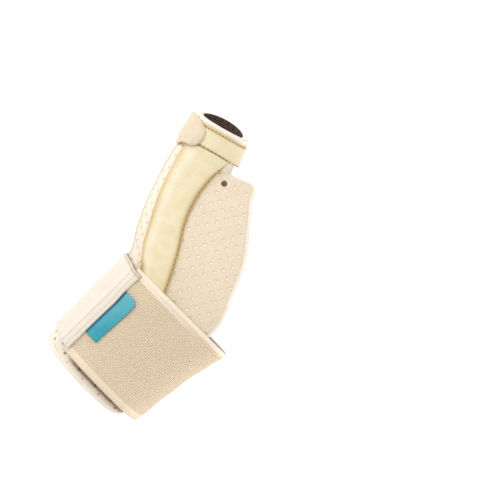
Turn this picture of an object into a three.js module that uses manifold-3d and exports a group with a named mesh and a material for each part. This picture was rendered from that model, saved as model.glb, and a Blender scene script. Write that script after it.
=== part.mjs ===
// Thumb spica splint for a left hand, in the form that it has when it is worn.
// A perforated sleeve in two panels wraps the wrist, the ball of the thumb and the web, and ends
// in a tube round the thumb. A padded pocket for the stay runs up its palm side, a band and a tab
// close it round the thumb, and a wide elastic strap with a hook tab closes it round the wrist.
//
// Frame, in millimetres: +Z runs along the forearm towards the hand, -Y is the palm side, and the
// thumb leans towards -X. The origin is the middle of the wrist on the strap's centre line.
import * as THREE from "three";
import { mergeVertices } from "three/addons/utils/BufferGeometryUtils.js";
import Module from "manifold-3d";

const wasm = await Module();
wasm.setup();

// Driving sizes of the sleeve, over its outer face.
const WRIST = { width: 65, palm: 21, dorsal: 19.5 };
const THUMB = { width: 33, palm: 15, dorsal: 14 };
const wristSide = 33; // from the wrist's axis to its radial side
const thumbOut = 30; // how much further out the thumb's side stands at the rim
const thumbRise = 105; // height of the thumb rim on its radial side
const cuffDrop = 31; // how far the cuff reaches below the origin
const cuffDroop = 4; // extra length of the cuff in the middle of each panel
const cuffCorner = 7; // radius of the cuff's corners at the free edges
const rimRake = 4; // how much higher the thumb rim stands at the back than on the palm side
const thumbTilt = THREE.MathUtils.degToRad(27.4);

// Walls and gaps.
const panelWall = 2.4;
const layerGap = 0.3;
const seamGap = 0.4;

// The wrist strap.
const strapWidth = 57;
const elasticWall = 1.8;
const tabWall = 1.5;
const tabInset = 2; // the hook tab is narrower than the elastic by this much at each edge
const tabRise = 2.5; // how much higher it lies at the radial side than at its seam
const strapFlare = 3; // the elastic stands off the cuff by this much at its lower palm edge
const seamShare = 0.215; // where the hook tab starts in front, as a share of the wrist's width
const tabOverlap = 4; // how far the elastic runs on below the tab
const elasticStart = THREE.MathUtils.degToRad(-158); // its other end, behind the radial side
const tabEnd = THREE.MathUtils.degToRad(-105); // where the hook tab ends, at the back

// The folded side tag, sewn into the strap's seam.
const tagLength = 30;
const tagReach = 7.6;
const tagWall = 1;

// The stay pocket, the thumb's band, its closing tab and its binding.
const pocketHem = 1;
const pocketFill = 2.2;
const pocketTuck = 9; // how far the pocket runs on below the strap's upper edge
const tuckFill = 0.4; // how much of the pocket's filling is left where the strap presses it
const tabFill = 0.2; // and how much is left where the thumb's tab presses it
const bandWidth = 13;
const bandWall = 1.6;
const thumbTabWidth = 15.5;
const thumbTabWall = 1.4;
const thumbTabFront = 0.33; // its front end, as a share of the thumb's width
const thumbTabBack = THREE.MathUtils.degToRad(-80);
const bindingHeight = 2.6;
const eyeletRadius = 1.3;
const eyeletBelowWeb = 6;

// The sleeve's sections, from the cuff to the thumb rim. Each one is a closed loop in a plane.
// side: share of thumbOut; up: share of cuffDrop or thumbRise; tilt: share of thumbTilt;
// width, palm, dorsal: shares of the girth's sizes; square: 2 is an ellipse, more is squarer;
// taper: how much thinner the loop gets towards its web end; rake: share of rimRake; palmEdge and
// dorsalEdge: where the panels' free edges lie, as shares of the width; stayFrom and stayTo: the
// pocket's two seams.
const COLUMNS = ["girth", "side", "up", "tilt", "width", "palm", "dorsal", "square", "taper", "rake",
  "palmEdge", "dorsalEdge", "stayFrom", "stayTo"];
const SECTIONS = [
  [WRIST, -0.03, -1.0, 0.0, 0.94, 0.95, 0.95, 2.2, 0.0, 0.0, 0.93, 0.88, 0.24, 0.43],
  [WRIST, 0.0, 0.0, 0.0, 1.0, 1.0, 1.0, 2.2, 0.0, 0.0, 0.92, 0.86, 0.22, 0.42],
  [WRIST, 0.02, 0.267, 0.03, 1.105, 1.02, 1.0, 2.3, 0.0, 0.0, 0.84, 0.8, 0.18, 0.4],
  [WRIST, 0.25, 0.4, 0.07, 1.27, 1.03, 0.95, 2.4, 0.05, 0.0, 0.785, 0.74, 0.105, 0.345],
  [WRIST, 0.45, 0.514, 0.24, 1.31, 0.98, 0.88, 2.4, 0.12, 0.0, 0.749, 0.7, 0.075, 0.3],
  [WRIST, 0.65, 0.667, 0.44, 1.17, 0.86, 0.8, 2.3, 0.25, 0.0, 0.745, 0.7, 0.055, 0.305],
  [WRIST, 0.717, 0.724, 0.71, 0.94, 0.8, 0.74, 2.2, 0.38, 0.0, 0.829, 0.8, 0.065, 0.385],
  [THUMB, 0.75, 0.762, 1.0, 1.38, 1.06, 1.05, 2.1, 0.45, 0.0, 1.0, 1.0, 0.08, 0.54],
  [THUMB, 0.783, 0.79, 0.885, 1.0, 1.0, 1.0, 2.0, 0.12, 0.0, 1.0, 1.0, 0.1, 0.76],
  [THUMB, 0.85, 0.924, 0.5, 0.9, 0.88, 0.88, 2.0, 0.0, 0.4, 1.0, 1.0, 0.14, 0.92],
  [THUMB, 0.93, 1.0, 0.57, 0.85, 0.85, 0.85, 2.0, 0.0, 1.0, 1.0, 1.0, 0.16, 0.92],
];
const WEB = 7;
const RIM = SECTIONS.length - 1;

// The columns as lengths, so that they can be blended from section to section.
const rows = SECTIONS.map((cells) => {
  const row = Object.fromEntries(COLUMNS.map((name, i) => [name, cells[i]]));
  row.side = -(wristSide + row.side * thumbOut);
  row.up *= row.up < 0 ? cuffDrop : thumbRise;
  row.tilt *= thumbTilt;
  row.width *= row.girth.width;
  row.palm *= row.girth.palm;
  row.dorsal *= row.girth.dorsal;
  return row;
});

// Slopes of a curve through evenly spaced values that never overshoots them.
function slopesOf(values) {
  const steps = values.slice(1).map((value, i) => value - values[i]);
  return values.map((_, i) => {
    const before = steps[i - 1] ?? steps[i];
    const after = steps[i] ?? before;
    return before * after > 0 ? (2 * before * after) / (before + after) : 0;
  });
}

const curves = Object.fromEntries(
  COLUMNS.slice(1).map((name) => {
    const values = rows.map((row) => row[name]);
    return [name, { values, slopes: slopesOf(values) }];
  }),
);

// One column's value at a place v between the sections, where v counts sections from 0.
function at(name, v) {
  const { values, slopes } = curves[name];
  const i = Math.min(Math.max(Math.floor(v), 0), RIM - 1);
  const t = v - i;
  const rest = 1 - t;
  return (
    values[i] * rest * rest * (1 + 2 * t) +
    values[i + 1] * t * t * (3 - 2 * t) +
    slopes[i] * t * rest * rest -
    slopes[i + 1] * t * t * rest
  );
}

const power = (x, p) => Math.sign(x) * Math.abs(x) ** p;

// The angle round the loop at a share of its width, from 0 at the radial side to 1 at the web.
const angleAt = (share, v) =>
  Math.acos(power(THREE.MathUtils.clamp(2 * share - 1, -1, 1), at("square", v) / 2));

// Half a seam's gap as an angle, at the two ends of the loop.
function seamAngle(v) {
  const depth = Math.min(at("palm", v), at("dorsal", v)) * (1 - at("taper", v));
  return (seamGap / 2 / depth) ** (at("square", v) / 2);
}

// A point on the sleeve's outer face. Angle 0 is the web side, positive angles the palm side.
function facePoint(angle, v) {
  const round = 2 / at("square", v);
  const across = power(Math.cos(angle), round);
  const depth = Math.sin(angle) < 0 ? at("dorsal", v) : -at("palm", v);
  const bulge = Math.abs(Math.sin(angle)) ** round * (1 - (at("taper", v) * (1 + across)) / 2);
  const along = (at("width", v) * (1 + across)) / 2;
  const rake = rimRake * at("rake", v) * ((1 - Math.sin(angle)) / 2) ** 2;
  return new THREE.Vector3(
    at("side", v) + along * Math.cos(at("tilt", v)),
    depth * bulge,
    at("up", v) + along * Math.sin(at("tilt", v)) + rake,
  );
}

// A point that lies off the outer face by an offset along the face's normal.
function offPoint(angle, v, offset) {
  const step = 0.02;
  const low = Math.max(v - step, 0);
  const high = Math.min(v + step, RIM);
  const round = facePoint(angle + step, v).sub(facePoint(angle - step, v));
  const up = facePoint(angle, high).sub(facePoint(angle, low));
  const normal = round.cross(up).normalize();
  return facePoint(angle, v).addScaledVector(normal, -offset);
}

// A closed solid between two faces given on a grid. ring joins the grid's first and last column.
function slab(columns, steps, outer, inner, ring = false) {
  const points = [];
  const faces = [];
  const stride = (columns + 1) * (steps + 1);
  for (const face of [outer, inner]) {
    for (let j = 0; j <= steps; j++) {
      for (let i = 0; i <= columns; i++) {
        points.push(face(ring ? (i % columns) / columns : i / columns, j / steps));
      }
    }
  }
  const quad = (a, b, c, d) => faces.push(a, b, c, a, c, d);
  const index = (i, j) => j * (columns + 1) + i;
  for (let j = 0; j < steps; j++) {
    for (let i = 0; i < columns; i++) {
      const [a, b, c, d] = [index(i, j), index(i + 1, j), index(i + 1, j + 1), index(i, j + 1)];
      quad(a, d, c, b);
      quad(a + stride, b + stride, c + stride, d + stride);
    }
    if (!ring) {
      quad(index(0, j), index(0, j) + stride, index(0, j + 1) + stride, index(0, j + 1));
      const [low, high] = [index(columns, j), index(columns, j + 1)];
      quad(low, high, high + stride, low + stride);
    }
  }
  for (let i = 0; i < columns; i++) {
    quad(index(i, 0), index(i + 1, 0), index(i + 1, 0) + stride, index(i, 0) + stride);
    const [left, right] = [index(i, steps), index(i + 1, steps)];
    quad(left, left + stride, right + stride, right);
  }
  const geometry = new THREE.BufferGeometry().setFromPoints(points);
  geometry.setIndex(faces);
  const closed = mergeVertices(geometry, 1e-4);
  if (toSolid(closed).volume() < 0) closed.setIndex([...closed.index.array].reverse());
  return closed;
}

const mix = THREE.MathUtils.lerp;
const ease = (x, from, to) => THREE.MathUtils.smoothstep(x, from, to);

// The place v where a measured length is reached: length is a rising function of v.
function placeWhere(length, wanted, low = 0, high = RIM) {
  for (let i = 0; i < 40; i++) {
    const middle = (low + high) / 2;
    if (length(middle) < wanted) low = middle;
    else high = middle;
  }
  return (low + high) / 2;
}

const placeAtHeight = (z) => placeWhere((v) => at("up", v), z);
const front = Math.PI / 2;
const rimFront = facePoint(front, RIM);
const placeBelowRim = (drop) =>
  placeWhere((v) => -facePoint(front, v).distanceTo(rimFront), -drop, WEB);

// The two panels: palm is 1 for the palm side and -1 for the back of the hand.
function panel(palm, columns, steps) {
  const edge = palm > 0 ? "palmEdge" : "dorsalEdge";
  const cornerShare = 0.12;
  const face = (offset) => (s, t) => {
    const lift = Math.max(0, 1 - s / cornerShare);
    const corner = (cuffCorner / cuffDrop) * (1 - Math.sqrt(1 - lift * lift));
    const v = t * RIM;
    const place = v + corner * Math.max(0, 1 - v);
    const from = Math.max(angleAt(at(edge, place), place), seamAngle(place));
    const angle = mix(from, Math.PI - seamAngle(place), s);
    const point = offPoint(palm * angle, place, offset);
    point.z -= cuffDroop * Math.max(0, 1 - v) ** 2 * Math.sin(angle);
    return point;
  };
  const [outer, inner] = [face(0), face(-panelWall)];
  return palm > 0 ? slab(columns, steps, outer, inner) : slab(columns, steps, inner, outer);
}

// A round hole at the foot of the notch between the thumb and the web.
function cutEyelet(geometry) {
  const notch = facePoint(0, WEB + 1);
  const drill = new THREE.CylinderGeometry(eyeletRadius, eyeletRadius, WRIST.palm * 2, 12);
  drill.translate(notch.x + eyeletRadius, -WRIST.palm, notch.z - eyeletBelowWeb);
  return fromSolid(toSolid(geometry).subtract(toSolid(drill)));
}

function toSolid(geometry) {
  const bare = geometry.clone();
  for (const name of ["normal", "uv"]) bare.deleteAttribute(name);
  const merged = mergeVertices(bare, 1e-4);
  return new wasm.Manifold(
    new wasm.Mesh({
      numProp: 3,
      vertProperties: new Float32Array(merged.attributes.position.array),
      triVerts: new Uint32Array(merged.index.array),
    }),
  );
}

function fromSolid(solid) {
  const mesh = solid.getMesh();
  const geometry = new THREE.BufferGeometry();
  geometry.setAttribute("position", new THREE.BufferAttribute(mesh.vertProperties, 3));
  geometry.setIndex(new THREE.BufferAttribute(mesh.triVerts, 1));
  return geometry;
}

// The stay pocket's lower end, its upper end, and its thickness across and along.
const strapTop = strapWidth / 2;
const pocketFoot = placeAtHeight(strapTop - pocketTuck);
const strapEdge = placeAtHeight(strapTop);
const bandFoot = placeBelowRim(bandWidth);
const pocketHead = placeBelowRim(bandWidth + layerGap);
const thumbTabFoot = placeBelowRim(thumbTabWidth);

// The filling is pressed flat by the strap at the foot, and by the thumb's tab at the head.
function pocketHeight(s, v) {
  const fill = mix(tuckFill, 1, ease(v, strapEdge, strapEdge + 0.35));
  const underTab = ease(v, thumbTabFoot - 0.3, thumbTabFoot) * ease(s, 0.3, 0.5);
  const crown = 1 - Math.abs(2 * s - 1) ** 3;
  return pocketHem + pocketFill * mix(fill, tabFill, underTab) * crown;
}

function stayPocket() {
  const face = (height) => (s, t) => {
    const v = mix(pocketFoot, pocketHead, t);
    const angle = angleAt(mix(at("stayTo", v), at("stayFrom", v), s), v);
    return offPoint(angle, v, height(s, v));
  };
  return slab(14, 26, face((s, v) => layerGap + pocketHeight(s, v)), face(() => layerGap));
}

// How far the strap's inner face stands off the panels: it rides over the foot of the pocket,
// and its lower palm edge flares away from the cuff.
function strapLift(angle, v) {
  const [from, to] = [angleAt(at("stayTo", v), v), angleAt(at("stayFrom", v), v)];
  const margin = 0.35;
  const over = ease(angle, from - margin, from) * (1 - ease(angle, to, to + margin));
  const bump = pocketHem + pocketFill * tuckFill + layerGap;
  const tucked = ease(v, pocketFoot - 0.45, pocketFoot - 0.05);
  const low = 1 - ease(v, 0.1, 0.7);
  const palmSide = ease(angle, 0.25, 0.9) * (1 - ease(angle, 1.6, 2.2));
  return layerGap + Math.max(bump * over * tucked, strapFlare * low * palmSide);
}

const tabStart = angleAt(seamShare, 1);
const elasticEnd = angleAt(seamShare - tabOverlap / WRIST.width, 1);
const fullTurn = 2 * Math.PI;

// A strap's face between two angles. Its edges lie inset from the elastic's, and it can rise.
const strapFace = (fromAngle, toAngle, inset, lift, rise = 0) => (s, t) => {
  const z = mix(-strapTop + inset, strapTop - inset, t) + rise * ease(s, 0, 0.4);
  const v = placeAtHeight(z);
  const angle = mix(fromAngle, toAngle, s);
  return offPoint(angle, v, lift(angle, v));
};

function wristElastic() {
  const outer = strapFace(elasticStart, elasticEnd, 0, (a, v) => strapLift(a, v) + elasticWall);
  return slab(44, 9, strapFace(elasticStart, elasticEnd, 0, strapLift), outer);
}

// The hook tab leaves the elastic's front end, crosses the radial side and lies on the elastic's
// other end at the back. Its angle goes on past half a turn, so the back is at a full turn less.
function tabLift(angle, v) {
  const turned = angle > Math.PI ? angle - fullTurn : angle;
  const step = elasticWall + layerGap;
  const onFront = 1 - ease(angle, elasticEnd + 0.03, elasticEnd + 0.22);
  const onBack = ease(angle, elasticStart + fullTurn - 0.22, elasticStart + fullTurn - 0.03);
  return strapLift(turned, v) + step * Math.max(onFront, onBack);
}

function hookTab() {
  const span = [tabStart, tabEnd + fullTurn, tabInset];
  const inner = strapFace(...span, tabLift, tabRise);
  const outer = strapFace(...span, (a, v) => tabLift(a, v) + tabWall, tabRise);
  return slab(26, 9, inner, outer);
}

function sideTag() {
  const lift = (a, v) => strapLift(a, v) + elasticWall + layerGap;
  const from = seamShare + layerGap / WRIST.width;
  const to = from + tagReach / WRIST.width;
  const span = [angleAt(from, 1), angleAt(to, 1), (strapWidth - tagLength) / 2];
  const inner = strapFace(...span, lift);
  const outer = strapFace(...span, (a, v) => lift(a, v) + tagWall);
  return slab(4, 8, outer, inner);
}

// The band round the thumb, a whole ring on the panels.
function thumbBand() {
  const face = (offset) => (s, t) => offPoint(-s * fullTurn, mix(bandFoot, RIM, t), offset);
  return slab(32, 5, face(layerGap + bandWall), face(layerGap), true);
}

// The closing tab of the band, from the front over the radial side to the back.
function thumbTab() {
  const from = angleAt(thumbTabFront, RIM);
  const to = thumbTabBack + fullTurn;
  const step = layerGap * 2 + bandWall;
  const face = (offset) => (s, t) => offPoint(mix(from, to, s), mix(thumbTabFoot, RIM, t), offset);
  return slab(16, 6, face(step), face(step + thumbTabWall));
}

// The binding tape on the thumb's rim, which covers the ends of the panels and the band.
function thumbBinding() {
  const tilt = at("tilt", RIM);
  const axis = new THREE.Vector3(-Math.sin(tilt), 0, Math.cos(tilt));
  const face = (offset) => (s, t) =>
    offPoint(-s * fullTurn, RIM, offset).addScaledVector(axis, layerGap + t * bindingHeight);
  return slab(32, 2, face(layerGap + bandWall), face(-panelWall), true);
}

const cream = { color: 0xf1dcbd, roughness: 0.95, metalness: 0 };
const plush = { color: 0xf3e3a9, roughness: 1, metalness: 0 };
const elastic = { color: 0xd9bb8f, roughness: 0.9, metalness: 0 };
const tape = { color: 0xf6ead2, roughness: 0.9, metalness: 0 };
const satin = { color: 0x2a9fb0, roughness: 0.5, metalness: 0 };

const splint = new THREE.Group();
function add(name, geometry, finish) {
  const mesh = new THREE.Mesh(geometry, new THREE.MeshStandardMaterial(finish));
  mesh.name = name;
  splint.add(mesh);
}

add("palm_panel", cutEyelet(panel(1, 23, 30)), cream);
add("dorsal_panel", panel(-1, 22, 27), cream);
add("stay_pocket", stayPocket(), plush);
add("thumb_band", thumbBand(), plush);
add("thumb_tab", thumbTab(), plush);
add("thumb_binding", thumbBinding(), tape);
add("wrist_elastic", wristElastic(), elastic);
add("hook_tab", hookTab(), tape);
add("side_tag", sideTag(), satin);

export default splint;
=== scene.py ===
# %% [markdown]
# A thumb spica splint for a left hand, in the form that it has when it is worn.
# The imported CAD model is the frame: it has each piece at its real size and place. This script
# dresses it. Every soft piece is made again as a fine mesh on the same sleeve, with its seams,
# stitches and perforations, and gets the finish of its real material.

# %% The frame
from functools import partial
from types import SimpleNamespace

import bpy
import numpy as np
from mathutils import Matrix


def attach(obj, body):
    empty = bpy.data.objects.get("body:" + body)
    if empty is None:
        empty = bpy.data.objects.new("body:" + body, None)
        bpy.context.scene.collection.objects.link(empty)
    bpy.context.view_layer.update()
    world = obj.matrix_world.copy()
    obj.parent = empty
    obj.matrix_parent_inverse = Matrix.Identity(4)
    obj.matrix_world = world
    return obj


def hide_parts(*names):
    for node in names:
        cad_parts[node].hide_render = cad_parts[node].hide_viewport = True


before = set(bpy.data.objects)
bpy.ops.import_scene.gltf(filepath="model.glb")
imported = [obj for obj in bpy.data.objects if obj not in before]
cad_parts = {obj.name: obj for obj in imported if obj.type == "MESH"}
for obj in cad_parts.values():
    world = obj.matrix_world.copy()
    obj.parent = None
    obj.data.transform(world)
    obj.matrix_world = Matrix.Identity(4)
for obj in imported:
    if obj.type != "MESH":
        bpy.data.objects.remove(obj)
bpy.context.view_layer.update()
MM = 0.001

# %% [markdown]
# The sleeve is one smooth surface. It is a closed loop that is carried from the cuff, past the
# ball of the thumb and the web, to the thumb's rim. A loop could be drawn by hand as a curve and
# lofted, but a table of sections is easier to change: each row gives one loop's place, tilt and
# size as shares of a few real sizes, the same ones that the CAD model uses. All lengths are in
# millimetres here, and a mesh turns them to metres once, at the end.

# %% Sizes of the sleeve
WRIST = {"width": 65, "palm": 21, "dorsal": 19.5}
THUMB = {"width": 33, "palm": 15, "dorsal": 14}
WRIST_SIDE = 33
THUMB_OUT = 30
THUMB_RISE = 105
CUFF_DROP = 31
CUFF_DROOP = 4
CUFF_CORNER = 7
RIM_RAKE = 4
THUMB_TILT = np.radians(27.4)
PANEL_WALL = 2.4
LAYER_GAP = 0.3
SEAM_GAP = 0.4

COLUMNS = ["girth", "side", "up", "tilt", "width", "palm", "dorsal", "square", "taper", "rake",
           "palm_edge", "dorsal_edge", "stay_from", "stay_to"]
SECTIONS = [
    [WRIST, -0.03, -1.0, 0.0, 0.94, 0.95, 0.95, 2.2, 0.0, 0.0, 0.93, 0.88, 0.24, 0.43],
    [WRIST, 0.0, 0.0, 0.0, 1.0, 1.0, 1.0, 2.2, 0.0, 0.0, 0.92, 0.86, 0.22, 0.42],
    [WRIST, 0.02, 0.267, 0.03, 1.105, 1.02, 1.0, 2.3, 0.0, 0.0, 0.84, 0.8, 0.18, 0.4],
    [WRIST, 0.25, 0.4, 0.07, 1.27, 1.03, 0.95, 2.4, 0.05, 0.0, 0.785, 0.74, 0.105, 0.345],
    [WRIST, 0.45, 0.514, 0.24, 1.31, 0.98, 0.88, 2.4, 0.12, 0.0, 0.749, 0.7, 0.075, 0.3],
    [WRIST, 0.65, 0.667, 0.44, 1.17, 0.86, 0.8, 2.3, 0.25, 0.0, 0.745, 0.7, 0.055, 0.305],
    [WRIST, 0.717, 0.724, 0.71, 0.94, 0.8, 0.74, 2.2, 0.38, 0.0, 0.829, 0.8, 0.065, 0.385],
    [THUMB, 0.75, 0.762, 1.0, 1.38, 1.06, 1.05, 2.1, 0.45, 0.0, 1.0, 1.0, 0.08, 0.54],
    [THUMB, 0.783, 0.79, 0.885, 1.0, 1.0, 1.0, 2.0, 0.12, 0.0, 1.0, 1.0, 0.1, 0.76],
    [THUMB, 0.85, 0.924, 0.5, 0.9, 0.88, 0.88, 2.0, 0.0, 0.4, 1.0, 1.0, 0.14, 0.92],
    [THUMB, 0.93, 1.0, 0.57, 0.85, 0.85, 0.85, 2.0, 0.0, 1.0, 1.0, 1.0, 0.16, 0.92],
]
WEB = 7
RIM = len(SECTIONS) - 1
print("sections from the cuff to the rim:", len(SECTIONS))


# %% Curves through the sections
def real_sizes(cells):
    """One row of the table with its shares turned to lengths and angles."""
    row = dict(zip(COLUMNS, cells))
    girth = row.pop("girth")
    row["side"] = -(WRIST_SIDE + row["side"] * THUMB_OUT)
    row["up"] *= CUFF_DROP if row["up"] < 0 else THUMB_RISE
    row["tilt"] *= THUMB_TILT
    row["rake"] *= RIM_RAKE
    return row | {size: row[size] * girth[size] for size in girth}


def slopes_of(values):
    """Slopes of a curve through evenly spaced values that never overshoots: the harmonic mean of
    the two neighbouring steps, and 0 where the steps change sign."""
    steps = np.diff(values)
    before = np.r_[steps[0], steps]
    after = np.r_[steps, steps[-1]]
    same = before * after > 0
    total = np.where(same, before + after, 1)
    return np.where(same, 2 * before * after / total, 0)


def cubic(values, slopes, x):
    """A smooth curve through values at 0, 1, 2 and so on with a slope at each, at places x."""
    i = np.clip(np.floor(x), 0, len(values) - 2).astype(int)
    t = x - i
    rest = 1 - t
    return (values[i] * rest**2 * (1 + 2 * t) + values[i + 1] * t**2 * (3 - 2 * t)
            + slopes[i] * t * rest**2 - slopes[i + 1] * t**2 * rest)


section_rows = [real_sizes(cells) for cells in SECTIONS]
CURVES = {}
for name in COLUMNS[1:]:
    values = np.array([row[name] for row in section_rows], float)
    CURVES[name] = (values, slopes_of(values))


def at(name, v):
    """One column's value at places v, which count sections from 0: a cubic through the rows."""
    return cubic(*CURVES[name], v)


print("the thumb's rim is", at("up", float(RIM)), "mm up and the web", at("up", float(WEB)))


# %% The sleeve's surface
def power(x, p):
    """x to the power p with x's own sign."""
    return np.sign(x) * np.abs(x) ** p


def angle_at(share, v):
    """The angle round the loop at a share of its width: 0 at the radial side, 1 at the web."""
    return np.arccos(power(np.clip(2 * share - 1, -1, 1), at("square", v) / 2))


def face_point(angle, v):
    """A point on the sleeve's outer face. The loop is a squared ellipse: cos and sin of the angle,
    each to the power 2 / square. Angle 0 is the web side, positive angles are the palm side."""
    round_ = 2 / at("square", v)
    across = power(np.cos(angle), round_)
    depth = np.where(np.sin(angle) < 0, at("dorsal", v), -at("palm", v))
    bulge = np.abs(np.sin(angle)) ** round_ * (1 - at("taper", v) * (1 + across) / 2)
    along = at("width", v) * (1 + across) / 2
    rake = at("rake", v) * ((1 - np.sin(angle)) / 2) ** 2
    tilt = at("tilt", v)
    return np.stack([at("side", v) + along * np.cos(tilt), depth * bulge,
                     at("up", v) + along * np.sin(tilt) + rake], -1)


def unit(vectors):
    """Vectors divided by their lengths."""
    return vectors / np.linalg.norm(vectors, axis=-1, keepdims=True)


def normal_at(angle, v):
    """The outward normal, from small steps round the loop and along the sleeve."""
    step = 0.02
    round_ = face_point(angle + step, v) - face_point(angle - step, v)
    above, below = np.minimum(v + step, RIM), np.maximum(v - step, 0)
    normal = np.cross(face_point(angle, above) - face_point(angle, below), round_)
    return unit(normal)


def off_point(angle, v, offset):
    """A point that lies off the outer face by an offset along its normal."""
    return face_point(angle, v) + normal_at(angle, v) * np.asarray(offset)[..., None]


print("rim in front, mm:", face_point(np.pi / 2, np.array(float(RIM))).round(1))

# %% [markdown]
# Cloth has a flat cut, and its weave and perforations keep their real spacing when it is worn. So
# the sleeve is measured: lengths round each loop give every point a flat place in millimetres,
# which goes into a UV map called cloth. The same lengths turn an even step along the cloth into
# an angle, so the grids have even cells where an angle alone would crowd them.

# %% Lengths round the sleeve
TURN = 2 * np.pi
LOOP_STEPS = 720
PLACE_STEPS = 400


def measured_loops():
    """Tables over (v, angle) of the length round the loop from angle 0, for one full turn, and its
    inverse, the angle at each share of that length."""
    angles = np.linspace(0, TURN, LOOP_STEPS + 1)
    places = np.linspace(0, RIM, PLACE_STEPS + 1)
    points = face_point(angles[None, :], places[:, None])
    steps = np.linalg.norm(np.diff(points, axis=1), axis=-1)
    lengths = np.concatenate([np.zeros((PLACE_STEPS + 1, 1)), np.cumsum(steps, 1)], 1)
    shares = np.linspace(0, 1, LOOP_STEPS + 1)
    inverse = np.stack([np.interp(shares, row / row[-1], angles) for row in lengths])
    return lengths, inverse


LENGTHS, ANGLES = measured_loops()


def looked_up(table, column, v):
    """A table's value between its cells, at a share of its columns and a place v along the rows."""
    x = np.clip(column, 0, 1) * LOOP_STEPS
    y = np.clip(v / RIM, 0, 1) * PLACE_STEPS
    i = np.minimum(x.astype(int), LOOP_STEPS - 1)
    j = np.minimum(y.astype(int), PLACE_STEPS - 1)
    s, t = x - i, y - j
    low = table[j, i] * (1 - s) + table[j, i + 1] * s
    high = table[j + 1, i] * (1 - s) + table[j + 1, i + 1] * s
    return low * (1 - t) + high * t


def length_at(angle, v):
    """The length round the loop from the web side to an angle, which may pass a full turn."""
    angle, v = np.broadcast_arrays(np.asarray(angle, float), np.asarray(v, float))
    turns = np.floor(angle / TURN)
    whole = looked_up(LENGTHS, np.ones_like(v), v)
    return turns * whole + looked_up(LENGTHS, angle / TURN - turns, v)


def angle_at_length(length, v):
    """The angle at a length round the loop from the web side."""
    length, v = np.broadcast_arrays(np.asarray(length, float), np.asarray(v, float))
    share = length / looked_up(LENGTHS, np.ones_like(v), v)
    turns = np.floor(share)
    return turns * TURN + looked_up(ANGLES, share - turns, v)


def evenly(start, end, share, v):
    """The angle at a share of the cloth's length between two angles."""
    low, high = length_at(start, v), length_at(end, v)
    return angle_at_length(low + (high - low) * share, v)


def cloth_place(angle, v):
    """A point's flat place: the loop rolled out on both sides of the middle of the palm."""
    front = face_point(np.pi / 2 + 0 * v, v)
    out = length_at(np.pi / 2, v) - length_at(angle, v)
    tilt = at("tilt", v)
    return np.stack([front[..., 0] + out * np.cos(tilt), front[..., 2] + out * np.sin(tilt)], -1)


print("round the wrist, mm:", round(float(length_at(TURN, 1.0)), 1))


# %% Small helpers for places along the sleeve
def mix(a, b, t):
    """The value at a share t of the way from a to b."""
    return a + (b - a) * t


def ease(x, start, end):
    """0 before start, 1 after end, and smooth between them."""
    t = np.clip((x - start) / (end - start), 0, 1)
    return t * t * (3 - 2 * t)


PLACES = np.linspace(0, RIM, 4001)
HEIGHTS = at("up", PLACES)


def place_at_height(z):
    """The place v of a height on the radial side."""
    return np.interp(z, HEIGHTS, PLACES)


def place_below_rim(drop):
    """The place v that lies a distance below the rim, measured down the front of the thumb."""
    v = np.linspace(WEB, RIM, 2001)
    rim = face_point(np.pi / 2, np.array(float(RIM)))
    down = np.linalg.norm(face_point(np.pi / 2, v) - rim, axis=-1)
    return float(np.interp(-drop, -down, v))


def smooth_noise(place, size, seed):
    """Gentle hills of about one size in mm, from -1 to 1: a sum of sines in random directions."""
    draw = np.random.default_rng(seed)
    total = np.zeros(place.shape[:-1])
    waves = 9
    for direction, phase, pace in zip(draw.uniform(0, TURN, waves), draw.uniform(0, TURN, waves),
                                      draw.uniform(0.6, 1.5, waves)):
        run = place[..., 0] * np.cos(direction) + place[..., 1] * np.sin(direction)
        total += np.sin(TURN * run * pace / size + phase)
    return total / waves**0.5 / 1.6


print("the wrist's widest line is at place", round(float(place_at_height(0.0)), 2))

# %% [markdown]
# A sheet of cloth is a closed shell: a fine outer face, an inner face of half the points, which
# only an eye inside the splint meets, and a rim that joins them. The Solidify modifier could give
# the wall, but here each face has its own relief. The outer face is laid out first on the bare
# sleeve, so that each point knows how far it is from the cloth's edges. Seams, rolled edges and
# stitch channels are then simple functions of that distance.

# %% Making meshes
def new_piece(name, points, faces, materials, place=None, marks=None, face_slots=None):
    """A smooth mesh from points in mm that rides on the splint. place is each point's flat place,
    which becomes the UV map called cloth, and marks are named numbers on the points."""
    mesh = bpy.data.meshes.new(name)
    mesh.from_pydata((points * MM).tolist(), [], faces)
    mesh.polygons.foreach_set("use_smooth", np.ones(len(faces), bool))
    if place is not None:
        corners = np.zeros(len(mesh.loops), np.int32)
        mesh.loops.foreach_get("vertex_index", corners)
        layer = mesh.uv_layers.new(name="cloth")
        layer.uv.foreach_set("vector", place[corners].astype(np.float32).ravel())
    for mark, values in (marks or {}).items():
        attribute = mesh.attributes.new(mark, "FLOAT", "POINT")
        attribute.data.foreach_set("value", np.asarray(values, np.float32))
    for material in materials:
        mesh.materials.append(material)
    if face_slots is not None:
        mesh.polygons.foreach_set("material_index", np.asarray(face_slots, np.int32))
    mesh.update()
    piece = bpy.data.objects.new(name, mesh)
    bpy.context.scene.collection.objects.link(piece)
    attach(piece, "root")
    return piece


# %% Grids on the sleeve
def grid_quads(columns, rows, start=0):
    """The quads of a grid of (rows + 1) x (columns + 1) points."""
    i, j = np.meshgrid(np.arange(columns), np.arange(rows))
    first = (j * (columns + 1) + i).ravel() + start
    return np.stack([first, first + 1, first + columns + 2, first + columns + 1], -1)


def border(columns, rows, start=0):
    """The points round a grid's edge: along the first row, up, back along the last row, down."""
    stride = columns + 1
    return start + np.r_[np.arange(columns), columns + stride * np.arange(rows),
                         rows * stride + columns - np.arange(columns),
                         stride * (rows - np.arange(rows))]


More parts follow.
